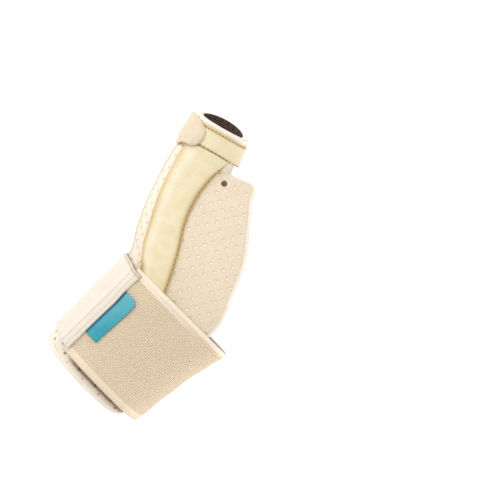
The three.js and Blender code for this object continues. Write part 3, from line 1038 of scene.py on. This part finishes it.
band_chart = ring_chart(band_foot, RIM)
band_grid = (even_count(rim_length, PLUSH_CELL), even_count(BAND_WIDTH, CELL))
thumb_wrap = cloth_sheet("thumb_wrap", [PLUSH], band_grid, band_chart, band_face,
                         lambda spot: LAYER_GAP + 0 * spot.v, marks=band_marks)
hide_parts("thumb_band")
print("round the thumb's rim, mm:", round(rim_length, 1))

# %% [markdown]
# The thumb's tab is a paler strip of the same plush. It comes from behind over the radial side,
# and hooks under it hold it on the band. It could be cut out and draped, but where it lies is known
# from the photograph, so its chart says it: the front end is rounded and drawn back at the rim, and
# the lower edge sags off the band.

# %% The thumb's tab
THUMB_TAB_WALL = 1.4
THUMB_TAB_FRONT = 0.33
THUMB_TAB_BACK = np.radians(-80)
THUMB_TAB_SPAN = 48
TAB_SEAM = 1.6
TAB_CORNER = 4.0
TAB_DRAWN = 10
TAB_BACK = 8.0


def thumb_tab_chart(s, t):
    """From the front, whose end bulges and draws back to the rim, over the radial side."""
    foot = thumb_tab_foot - 0.1 * ease(s, 0.05, 0.3)
    v = mix(foot, RIM, t)
    above = np.maximum(0, 1 - (1 - t) * THUMB_TAB_WIDTH / TAB_DRAWN)
    below = np.maximum(0, 1 - t * THUMB_TAB_WIDTH / TAB_CORNER)
    drawn = TAB_BACK * above**2.5 + TAB_CORNER * (1 - np.sqrt(1 - below**2))
    low = length_at(angle_at(THUMB_TAB_FRONT, float(RIM)), v) + drawn
    high = length_at(THUMB_TAB_BACK + TURN, v)
    return angle_at_length(mix(low, high, s), v), v


def thumb_tab_base(spot):
    """The tab lies on the band, and sags off its lower edge to the sleeve on the radial side."""
    sag = 1.55 * (1 - ease(spot.v, thumb_tab_foot, band_foot + 0.1)) * ease(spot.s, 0.12, 0.26)
    return LAYER_GAP * 2 + BAND_WALL - sag


def thumb_tab_face(spot):
    """Plush with a faint channel all round and a few soft creases."""
    seam = 0.1 * groove(spot.edge, TAB_SEAM, 0.7)
    crease = 0.15 * smooth_noise(spot.place * [1.0, 0.5], 7, 31)
    return (thumb_tab_base(spot) + THUMB_TAB_WALL - seam + crease * ease(spot.edge, 0.5, 2)
            - rolled(spot.edge, 1.0))


def tab_marks(spot):
    """The seam all round presses the pile a little and paints it a little deeper, partly as shade.
    """
    return {"pressed": 0.12 * groove(spot.edge, TAB_SEAM, 1.0)}


thumb_tab_grid = (even_count(THUMB_TAB_SPAN, CELL), even_count(THUMB_TAB_WIDTH, CELL))
thumb_closure = cloth_sheet("thumb_closure", [PALE_PLUSH], thumb_tab_grid,
                            thumb_tab_chart, thumb_tab_face, thumb_tab_base, marks=tab_marks)
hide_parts("thumb_tab")
print("cells of the thumb's tab, along and up:", thumb_tab_grid)

# %% [markdown]
# The binding is a pale tape, folded over the raw edges of all the layers at the rim. A profile
# swept round the rim would do, but the tape's two sides stand on different layers. So it is one
# more closed sheet, whose rows stand up on the rim and lean together at the top, and the needle's
# pull shows as small puckers.

# %% The binding
BINDING_HEIGHT = 2.6
RIM_CELL = 0.45
RIM_ROWS = 12
rim_tilt = float(at("tilt", float(RIM)))
RIM_AXIS = np.array([-np.sin(rim_tilt), 0, np.cos(rim_tilt)])


def binding_chart(s, t):
    """Once round the rim. All its rows lie on the rim, and above_rim lifts them."""
    v = RIM + 0 * t
    return evenly(RING_START + 0 * v, RING_START + TURN + 0 * v, s, v), v


def above_rim(spot):
    """The binding stands on the rim: t carries it up along the thumb's axis."""
    height = mix(0.3, 1, ((1 - np.sin(spot.angle)) / 2) ** 0.8) * BINDING_HEIGHT
    return (0.05 * LAYER_GAP + spot.t * height)[..., None] * RIM_AXIS


def binding_side(offset, sign):
    """One side of the fold: it leans to the middle at the top, and puckers a little."""
    def face(spot):
        pucker = 0.1 * np.sin(TURN * spot.left / 2.6 + 3 * smooth_noise(spot.place, 9, 41))
        lean = (2.1 if sign > 0 else 0.3) * (1 - np.sqrt(1 - (0.98 * spot.t) ** 2.5))
        return offset - sign * (lean - pucker * (1 - spot.t))
    return face


rim_grid = (even_count(rim_length, RIM_CELL), RIM_ROWS)
rim_tape = cloth_sheet("rim_tape", [BINDING_TAPE, LINING_KNIT], rim_grid, binding_chart,
                       binding_side(LAYER_GAP + BAND_WALL, 1),
                       binding_side(-PANEL_WALL, -1), shift=above_rim)
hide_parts("thumb_binding")
print("cells of the binding, round and up:", rim_grid)

# %% [markdown]
# The strap is woven elastic, a coarse open weave of covered rubber and heavy yarn with a firm
# ribbed selvage at each edge. Its cells are a millimetre, so they show. Threads could be modelled,
# but there are thousands, so they are relief and colour from crossed sines on the strap's own flat
# map. The hook tab's tape and the tag's satin ribbon are finer weaves of the same kind.

# %% Finish of the strap
ELASTIC_PITCH = 1.1
SELVAGE = 4.5
RIB = 1.1


def elastic_web():
    """Covered rubber and yarn: light knots, dark gaps between them, and ribs at the selvages."""
    material, shader, node = new_material("elastic_web", 0.8, 0.3, "#ffeccd", 0.45)
    flat = node("UVMap", uv_map="cloth")
    selvage = node("Attribute", attribute_name="selvage", out="Fac")
    valley = node("Attribute", attribute_name="valley", out="Fac")
    wobble = node("TexNoise", flat, 1 / 4, 2, 0.5)
    uneven = node("TexNoise", flat, 1 / 1.4, 2, 0.5)
    knots = crossed_threads(node, flat, ELASTIC_PITCH, ELASTIC_PITCH)
    raised = node("Math", uneven, 0.35, node("Math", knots, 0.8, operation="MULTIPLY"),
                  operation="MULTIPLY_ADD")
    raised = node("MapRange", raised, 0.15, 0.7, 0, 1, interpolation_type="SMOOTHSTEP")
    cloth = node("Mix", raised, "#dab07d", "#fff4dd", data_type="RGBA")
    cloth = layered(node, cloth, [(wobble, 0.3, "#f3dfc3"), (selvage, 1.0, "#faeedb"),
                                  (valley, 1.0, "#c49a52")])
    flatter = node("Math", selvage, -0.75, 1.0, operation="MULTIPLY_ADD")
    height = node("Math", knots, flatter, operation="MULTIPLY")
    return finished(material, shader, node, cloth, height, 0.45)


def hook_tape():
    """Brushed nylon face of hook tape: smooth, ivory, with a very fine twill."""
    material, shader, node = new_material("hook_tape", 0.7, 0.3, "#ffffff", 0.4)
    flat = node("UVMap", uv_map="cloth")
    pressed = node("Attribute", attribute_name="pressed", out="Fac")
    twill = crossed_threads(node, flat, 0.5, 1.0, np.radians(35))
    cloudy = node("TexNoise", flat, 1 / 12, 3, 0.5)
    face = node("Mix", cloudy, "#e2d6c8", "#e9dfd2", data_type="RGBA")
    # The last layer darkens the seam channels and paints shadow along the top edge.
    face = layered(node, face, [(twill, 0.15, "#ffffff"), (pressed, 1.0, "#a5844f")])
    return finished(material, shader, node, face, twill, 0.06)


def satin_ribbon():
    """Teal satin: long floats that shine, with painted shade where it goes into the seam and
    painted light at its upper end.
    """
    material, shader, node = new_material("satin_ribbon", 0.42, 0.2, "#c8f4ff", 0.3)
    shader.inputs["Specular IOR Level"].default_value = 0.5
    flat = node("UVMap", uv_map="cloth")
    lit = node("Attribute", attribute_name="lit", out="Fac")
    pressed = node("Attribute", attribute_name="pressed", out="Fac")
    floats = crossed_threads(node, flat, 0.35, 1.6)
    streaks = node("TexNoise", flat, 1 / 5, 2, 0.5)
    face = node("Mix", streaks, "#138aa0", "#289fb2", data_type="RGBA")
    face = layered(node, face, [(floats, 0.1, "#6fd0df"), (lit, 1.0, "#8ed3da"),
                                (pressed, 1.0, "#0b5a70")])
    return finished(material, shader, node, face, floats, 0.015)


ELASTIC_WEB = elastic_web()
HOOK_TAPE = hook_tape()
SATIN = satin_ribbon()
print("the strap's materials:", ELASTIC_WEB.name, HOOK_TAPE.name, SATIN.name)

# %% Where the strap lies
STRAP = {"wall": 1.8, "flare": 3, "tab_wall": 1.5, "tab_inset": 2, "tab_rise": 2.5}
SEAM_SHARE = 0.215
TAB_OVERLAP = 4
ELASTIC_START = np.radians(-158)
elastic_end = float(angle_at(SEAM_SHARE - TAB_OVERLAP / WRIST["width"], np.array(1.0)))


def strap_lift(angle, v):
    """How far the strap stands off the panels: it rides over the pocket's foot, and its lower
    palm edge flares away from the cuff."""
    start, end = angle_at(at("stay_to", v), v), angle_at(at("stay_from", v), v)
    margin = 0.35
    over = ease(angle, start - margin, start) * (1 - ease(angle, end, end + margin))
    bump = POCKET["hem"] + POCKET["fill"] * POCKET["tuck_fill"] + LAYER_GAP
    tucked = ease(v, pocket_foot - 0.45, pocket_foot - 0.05)
    low = 1 - ease(v, 0.1, 0.7)
    palm_side = ease(angle, 0.25, 0.9) * (1 - ease(angle, 1.6, 2.2))
    return LAYER_GAP + np.maximum(bump * over * tucked, STRAP["flare"] * low * palm_side)


def strap_chart(start, end, inset=0.0, rise=0.0, corner=0.01):
    """From start to end round the wrist, with corners of a radius in mm rounded off at the end."""
    def chart(s, t):
        z = mix(-STRAP_TOP + inset, STRAP_TOP - inset, t) + rise * ease(s, 0, 0.4)
        v = place_at_height(z)
        near = np.minimum(t, 1 - t) * 2 * (STRAP_TOP - inset)
        cut = corner * (1 - np.sqrt(1 - np.maximum(0, 1 - near / corner) ** 2))
        low, high = length_at(start + 0 * v, v), length_at(end + 0 * v, v)
        return angle_at_length(mix(low, high - cut, s), v), v
    return chart


print("the elastic ends in front at", round(np.degrees(elastic_end)), "degrees")

# %% The elastic strap
STRAP_SPAN = 185
STRAP_CELL = 0.6


def ribbed(distance):
    """0 on each rib of the selvage and 1 in the valley between two: half a cosine's height."""
    return (1 - np.cos(TURN * distance / RIB)) / 2


def strap_face(spot):
    """The weave's ribs at both selvages, and soft waves where the elastic is stretched."""
    ribs = 0.22 * ribbed(spot.ends) * (1 - ease(spot.ends, SELVAGE - 0.4, SELVAGE))
    wave = 0.25 * smooth_noise(spot.place * [0.5, 1.0], 17, 51)
    return (strap_lift(spot.angle, spot.v) + STRAP["wall"] - ribs + wave * ease(spot.ends, 1, 5)
            - rolled(spot.ends, 0.6) - rolled(spot.sides, 0.6))


def strap_marks(spot):
    """Both selvages are smooth and pale, the lower less, with a dark line in each valley. By the
    lower edge the first lines are darker, as painted shadow along that edge.
    """
    lower = spot.low < spot.high
    selvage = (1 - ease(spot.ends, SELVAGE - 0.5, SELVAGE)) * np.where(lower, 0.65, 0.95)
    strength = mix(np.where(lower, 0.5, 0.1), 0.9, ease(spot.ends, 2.0, 2.4))
    return {"selvage": selvage, "valley": selvage * ribbed(spot.ends) ** 3 * strength}


strap_grid = (even_count(STRAP_SPAN, STRAP_CELL), even_count(STRAP_WIDTH, CELL))
strap_elastic = cloth_sheet("strap_elastic", [ELASTIC_WEB], strap_grid,
                            strap_chart(ELASTIC_START, elastic_end), strap_face,
                            lambda spot: strap_lift(spot.angle, spot.v), marks=strap_marks)
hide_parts("wrist_elastic")
print("cells of the elastic, round and up:", strap_grid)

# %% [markdown]
# The hook tab is a smooth, stiff tape. It is sewn to the elastic's front end, goes round the radial
# side and closes on the elastic's other end behind. It rides on whatever is below, so its face is
# the strap's own lift and one step more where it lies on the elastic.

# %% The hook tab
HOOK_SPAN = (75, 53)
HOOK_SEAMS = (2.0, 5.2)
HOOK_HEM = 2.6
HOOK_BAR = 17
HOOK_CORNER = 4.0
TAB_END = np.radians(-105)
tab_start = float(angle_at(SEAM_SHARE, np.array(1.0)))


def tab_lift(angle, v):
    """The hook tab starts on the elastic's front end and finishes on its other end behind."""
    turned = np.where(angle > np.pi, angle - TURN, angle)
    step = STRAP["wall"] + LAYER_GAP
    on_front = 1 - ease(angle, elastic_end + 0.03, elastic_end + 0.22)
    on_back = ease(angle, ELASTIC_START + TURN - 0.22, ELASTIC_START + TURN - 0.03)
    return strap_lift(turned, v) + step * np.maximum(on_front, on_back)


def hook_face(spot):
    """Smooth tape with two stitch channels beside its seam, a slow wave and rolled edges."""
    seam = 0.18 * sum(groove(spot.left, inset, 0.6) for inset in HOOK_SEAMS)
    wave = 0.05 * smooth_noise(spot.place, 22, 61)
    return (tab_lift(spot.angle, spot.v) + STRAP["tab_wall"] - seam + wave * ease(spot.ends, 1, 5)
            - rolled(spot.ends, 0.5) - rolled(spot.sides, 0.5))


def hook_marks(spot):
    """The seam's two channels, and along the top two dark lines of painted shadow, for the gaps
    under the tab's edge.
    """
    gap_shadow = 0.9 * (1 - ease(spot.high, 0.2, 0.7)) + 0.7 * groove(spot.high, 1.5, 0.6)
    seams = 0.12 * (sum(groove(spot.left, inset, 0.7) for inset in HOOK_SEAMS)
                    + groove(spot.right, HOOK_HEM, 0.7) + groove(spot.right, HOOK_BAR, 0.7))
    return {"pressed": np.minimum(1, gap_shadow + seams)}


hook_chart = strap_chart(tab_start, TAB_END + TURN, STRAP["tab_inset"], STRAP["tab_rise"],
                         HOOK_CORNER)
hook_grid = [even_count(length, CELL) for length in HOOK_SPAN]
strap_tab = cloth_sheet("strap_tab", [HOOK_TAPE], hook_grid, hook_chart, hook_face,
                        lambda spot: tab_lift(spot.angle, spot.v), marks=hook_marks)
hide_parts("hook_tab")
print("the hook tab starts at", round(np.degrees(tab_start)), "degrees, cells:", hook_grid)

# %% [markdown]
# The side tag is a short ribbon of teal satin, folded once and sewn into the seam between the tab
# and the elastic. Only its outer ply and its fold show, so it is one sheet with a round far edge
# and a little air in it. Its face stays bare.

# %% The side tag
TAG = {"length": 30, "reach": 7.6, "wall": 1}
TAG_GRID = (32, 100)
tag_from = SEAM_SHARE + LAYER_GAP / WRIST["width"]
tag_to = tag_from + TAG["reach"] / WRIST["width"]
TAG_INSET = (STRAP_WIDTH - TAG["length"]) / 2
TAG_CORNER = 3.5


def tag_chart(s, t):
    """From the seam to the fold. Its upper corner at the fold is rounded."""
    z = mix(-STRAP_TOP + TAG_INSET + 1.2, STRAP_TOP - TAG_INSET + 0.6, t)
    v = place_at_height(z)
    lift = np.maximum(0, 1 - (1 - t) * TAG["length"] / TAG_CORNER)
    corner = TAG_CORNER * (1 - np.sqrt(1 - lift**2))
    low = length_at(angle_at(tag_from, np.array(1.0)), v)
    high = length_at(angle_at(tag_to, np.array(1.0)), v)
    return angle_at_length(mix(low, high + corner, s), v), v


def tag_base(spot):
    """The tag lies on the elastic."""
    return strap_lift(spot.angle, spot.v) + STRAP["wall"] + LAYER_GAP


def tag_face(spot):
    """Two plies of ribbon with a round fold at the far edge, puffed a little between."""
    puff = 0.25 * np.sin(np.pi * spot.s) ** 2
    return tag_base(spot) + TAG["wall"] + puff - rolled(spot.right, 0.8) - rolled(spot.ends, 0.25)


def tag_marks(spot):
    """Painted shade where the ribbon goes into the seam, and painted light where its upper end
    turns to the light.
    """
    return {"pressed": 1 - ease(spot.left, 0.4, 1.5), "lit": 0.4 * spot.t**1.5}


seam_tag = cloth_sheet("seam_tag", [SATIN], TAG_GRID, tag_chart, tag_face, tag_base,
                       marks=tag_marks)
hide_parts("side_tag")
print("the tag reaches from share", round(tag_from, 3), "to", round(tag_to, 3), "of the width")

# %% [markdown]
# Thread and piping go on last. A row of stitches keeps its distance from an edge, so it is found
# on the sheet's own grid, where each point knows that distance. Modelling each stitch makes it
# catch the light and cast its small shadow, which a painted dash can't do.

# %% Finish of the thread and the piping
def plain_finish(name, colour):
    """One even colour for thread, cord and the eyelet's painted shade: fairly rough, with a soft
    sheen.
    """
    material, shader, _ = new_material(name, 0.6, 0.3)
    shader.inputs["Base Color"].default_value = linear(colour)
    return material


OCHRE_THREAD = plain_finish("ochre_thread", "#9f7838")
CREAM_THREAD = plain_finish("cream_thread", "#f0e1c2")
PIPING_CORD = plain_finish("piping_cord", "#cbb476")
print("materials so far:", len(bpy.data.materials))

# %% Rows of stitches
ROW_GRID = 200


def seam_row(chart, face, edge, inset, start=0.0, end=1.0, lift=0.1, shift=None):
    """A path on a sheet that keeps an inset in mm from one edge: left, right, low or high. start
    and end are shares of that edge."""
    spot = laid_out(chart, ROW_GRID, ROW_GRID)
    upright = edge in ("left", "right")
    distance = getattr(spot, edge)
    moved = shift(spot) if shift else np.zeros((*distance.shape, 3))

    def at_inset(grid):
        lines = zip(distance, grid) if upright else zip(distance.T, grid.T)
        away = 1 if edge in ("left", "low") else -1
        found = np.array([np.interp(inset, d[::away], g[::away]) for d, g in lines])
        return found[int(start * ROW_GRID):int(end * ROW_GRID) + 1]

    angle, v = at_inset(spot.angle), at_inset(spot.v)
    step = np.stack([at_inset(moved[..., k]) for k in range(3)], -1)
    return on_sleeve(angle, v, at_inset(face(spot)) + lift, step)


def sewn(name, material, rows, pitch, share, radius):
    """One piece from rows of stitches: their pitch, the share of it that is thread, and the
    thread's radius."""
    points, faces = stitched(rows, pitch, share, radius)
    piece = new_piece(name, points, faces, [material])
    print(name, "has", len(piece.data.polygons), "faces")


# %% Stitches of the pocket, the band and its tab
pocket_rows = [seam_row(pocket_chart, pocket_face, edge, FLANGE, 0.06, 1, shift=bridged)
               for edge in ("left", "right")]
sewn("pocket_stitches", OCHRE_THREAD, pocket_rows, 2.7, 0.45, 0.26)

sewn("band_stitches", OCHRE_THREAD,
     [seam_row(band_chart, band_face, "high", BAND_SEAM)], 2.1, 0.55, 0.24)
sewn("band_hem_stitches", OCHRE_THREAD,
     [seam_row(band_chart, band_face, "low", BAND_HEM)], 2.4, 0.55, 0.2)

tab_rows = [seam_row(thumb_tab_chart, thumb_tab_face, edge, TAB_SEAM, start, end, 0)
            for edge, start, end in (("left", 0.12, 0.9), ("low", 0.04, 0.97),
                                     ("right", 0.1, 0.9))]
sewn("thumb_tab_stitches", CREAM_THREAD, tab_rows, 2.0, 0.6, 0.22)

# %% Stitches of the hook tab and the panels' hems
hook_rows = [seam_row(hook_chart, hook_face, "left", inset, 0.02, 0.98) for inset in HOOK_SEAMS]
hook_rows += [seam_row(hook_chart, hook_face, "right", inset, 0.05, 0.95)
              for inset in (HOOK_HEM, HOOK_BAR)]
hook_rows += [seam_row(hook_chart, hook_face, edge, HOOK_HEM, 0.78, 0.96)
              for edge in ("low", "high")]
sewn("hook_tab_stitches", CREAM_THREAD, hook_rows, 1.9, 0.66, 0.2)

hem_rows = []
for side in (1, -1):
    for edge, ends in (("left", (0.26, 0.81)), ("low", (0.1, 1.0))):
        hem_rows.append(seam_row(panel_chart(side), panel_face, edge, HEM_SEAM, *ends, 0, drooped))
sewn("hem_stitches", CREAM_THREAD, hem_rows, 2.3, 0.62, 0.18)

# %% [markdown]
# Small trims finish the seams. A cord lies in the seam up the radial side, and a thin fold of tape
# shows above the thumb's tab. A bevelled curve could make each one, but a swept oval is a plain
# mesh at once and has a flat map. At the web, short threads draw the two panels together.

# %% Piping, the fold and the stitches of the web
piping_places = np.linspace(0.2, thumb_tab_foot + 0.1, 160)
made_trim("side_piping", PIPING_CORD, on_sleeve(np.pi, piping_places, -0.2), 0.7, 0.6)

tab_front = length_at(angle_at(THUMB_TAB_FRONT, float(RIM)), float(RIM)) + TAB_BACK
fold_ends = angle_at_length(np.array([float(tab_front)]), np.array([float(RIM)]))
fold_angles = np.linspace(THUMB_TAB_BACK + 0.05, float(fold_ends[0]) - 0.05, 220)
fold_place = place_below_rim(0.4)
made_trim("rim_fold", BINDING_TAPE, on_sleeve(fold_angles, fold_place, 1.95), 0.85, 0.3)

web_places = np.linspace(WEB + 0.12, band_foot + 0.05, 12)
web_rows = []
for v in web_places:
    reach = 1.3 / np.sqrt(float(at("palm", v)) * float(at("dorsal", v)))
    web_rows.append(on_sleeve(np.linspace(-reach, reach, 5), np.full(5, v), 0.0))
sewn("web_stitches", CREAM_THREAD, web_rows, 2.6, 1.0, 0.15)

# %% [markdown]
# One eyelet is punched in the palm panel below the web. A dimple would not be dark enough, so a
# cutter takes the hole out of the finished sheet and the cut is applied. Its wall and floor are
# painted a plain brown, as the shade in the hole. A hole right through would look black, because
# the sleeve behind it is empty and dark, so the floor lies inside the foam.

# %% The eyelet
EYELET_RADIUS = 1.6
EYELET_DEPTH = 0.6
EYELET_BELOW_WEB = 6
EYELET_SIDES = 32


def eyelet_cutter(piece, x, z):
    """A round peg in front of the piece at x and z. A ray finds the piece's face there, and the
    peg's end lies the eyelet's depth behind it. It carries the piece's materials, the last on."""
    _, hit, _, _ = piece.ray_cast((x * MM, -0.1, z * MM), (0, 1, 0))
    centre = np.array(hit) / MM + [0, EYELET_DEPTH, 0]
    count = EYELET_SIDES
    turn = np.arange(count) * TURN / count
    circle = np.stack([np.cos(turn), 0 * turn, np.sin(turn)], -1)
    ring = circle * EYELET_RADIUS + centre
    points = np.concatenate([ring - [0, 30, 0], ring])
    walls = [[i, count + i, count + (i + 1) % count, (i + 1) % count] for i in range(count)]
    caps = [list(range(count)), list(range(count, 2 * count))[::-1]]
    mesh = bpy.data.meshes.new("cutter")
    mesh.from_pydata((points * MM).tolist(), [], walls + caps)
    for material in piece.data.materials:
        mesh.materials.append(material)
    last = np.full(len(walls + caps), len(mesh.materials) - 1, np.int32)
    mesh.polygons.foreach_set("material_index", last)
    return mesh


def punched(piece, x, z, core):
    """Cuts the eyelet into a piece from the palm side, at x and z, and applies the cut."""
    piece.data.materials.append(core)
    mesh = eyelet_cutter(piece, x, z)
    cutter = bpy.data.objects.new("cutter", mesh)
    bpy.context.scene.collection.objects.link(cutter)
    cut = piece.modifiers.new("eyelet", "BOOLEAN")
    cut.object = cutter
    cut.solver = "EXACT"
    evaluated = piece.evaluated_get(bpy.context.evaluated_depsgraph_get())
    whole = piece.data
    piece.data = bpy.data.meshes.new_from_object(evaluated)
    piece.modifiers.remove(cut)
    bpy.data.objects.remove(cutter)
    bpy.data.meshes.remove(mesh)
    bpy.data.meshes.remove(whole)
    piece.data.name = piece.name


# The eyelet's wall and floor are painted a plain brown, as the shade in the hole.
web_point = face_point(np.array(0.0), np.array(WEB + 1.0)).ravel()
punched(palm_sleeve, web_point[0] + 1.1, web_point[2] - EYELET_BELOW_WEB,
        plain_finish("painted_hole_shade", "#7c5e4c"))
print("palm sleeve after the eyelet:", len(palm_sleeve.data.polygons), "faces,",
      [m.name for m in palm_sleeve.data.materials], [u.name for u in palm_sleeve.data.uv_layers])

# %% [markdown]
# The backdrop is plain white, as in a product photograph, and the splint stands in soft light
# from all round, in the place where it is worn. The camera looks straight at the palm side and is
# rolled, so that the thumb points up and to the right as it does in the photograph.

# %% The camera
PHOTO_WIDTH = 260
LENS = 180
SENSOR = 36
AIM = (8.7, -8.0, 76.2)
ROLL_RIGHT = (0.695, 0.0, 0.719)


def placed(name, data, right, back, place):
    """Puts a camera or a lamp at a place in mm. It looks away from back, and its up is
    back x right."""
    thing = bpy.data.objects.new(name, data)
    bpy.context.scene.collection.objects.link(thing)
    matrix = np.eye(4)
    matrix[:3, :] = np.c_[right, np.cross(back, right), back, place * MM]
    thing.matrix_world = Matrix(matrix.tolist())
    return thing


def camera():
    """Looks along +Y at the palm side from a distance where its view is PHOTO_WIDTH wide."""
    data = bpy.data.cameras.new("camera")
    data.lens = LENS
    data.sensor_width = SENSOR
    data.clip_end = 20
    back = np.array([0.0, -1.0, 0.0])
    place = np.array(AIM) + back * PHOTO_WIDTH / SENSOR * LENS
    bpy.context.scene.camera = placed("camera", data, unit(np.array(ROLL_RIGHT)), back, place)
    return place


print("the camera is at, mm:", camera().round(1))

# %% The lamps and the floor
LIT_POINT = np.array([0.0, 0.0, 40.0])


def lamp(name, power_, size, place):
    """A soft square lamp at a place in mm that faces the splint."""
    data = bpy.data.lights.new(name, "AREA")
    data.energy = power_
    data.size = size
    place = np.array(place, float)
    back = unit(place - LIT_POINT)
    level = np.cross([0, 0, 1.0], back)
    right = unit(level) if abs(back[2]) < 0.99 else np.array([1.0, 0, 0])
    placed(name, data, right, back, place)


def pale_floor(width, height):
    """A plain pale floor, far enough down that the camera looks past it."""
    half = width / 2
    corners = [(-half, -half, height), (half, -half, height), (half, half, height),
               (-half, half, height)]
    mesh = bpy.data.meshes.new("floor")
    mesh.from_pydata([[x * MM for x in corner] for corner in corners], [], [(0, 1, 2, 3)])
    material, shader, _ = new_material("pale_paper", 0.9)
    shader.inputs["Base Color"].default_value = linear("#f4f2ee")
    mesh.materials.append(material)
    floor = bpy.data.objects.new("floor", mesh)
    bpy.context.scene.collection.objects.link(floor)


pale_floor(3000, -900)
lamp("key", 4.4, 0.6, (-900, -700, 300))
lamp("fill", 0.9, 0.9, (700, -800, 100))
lamp("side_left", 2.3, 0.8, (-900, 250, 150))
lamp("side_right", 4.9, 0.7, (900, 300, 0))
lamp("top", 1.4, 1.2, (0, 0, 1100))
print("lamps:", {light.name: round(light.energy, 1) for light in bpy.data.lights})


# %% The world
def white_world():
    """The sky is pure white to the eye and gives a softer, lesser light to the cloth."""
    world = bpy.data.worlds.new("white_world")
    bpy.context.scene.world = world
    world.use_nodes = True
    tree = world.node_tree
    seen = add(tree, "LightPath", out="Is Camera Ray")
    strength = add(tree, "Math", seen, 0.25, 0.8, operation="MULTIPLY_ADD")
    sky = tree.nodes["Background"]
    sky.inputs["Color"].default_value = (1, 1, 1, 1)
    tree.links.new(strength, sky.inputs["Strength"])


white_world()
print("world:", bpy.context.scene.world.name)
bpy.context.scene.view_settings.view_transform = "Standard"
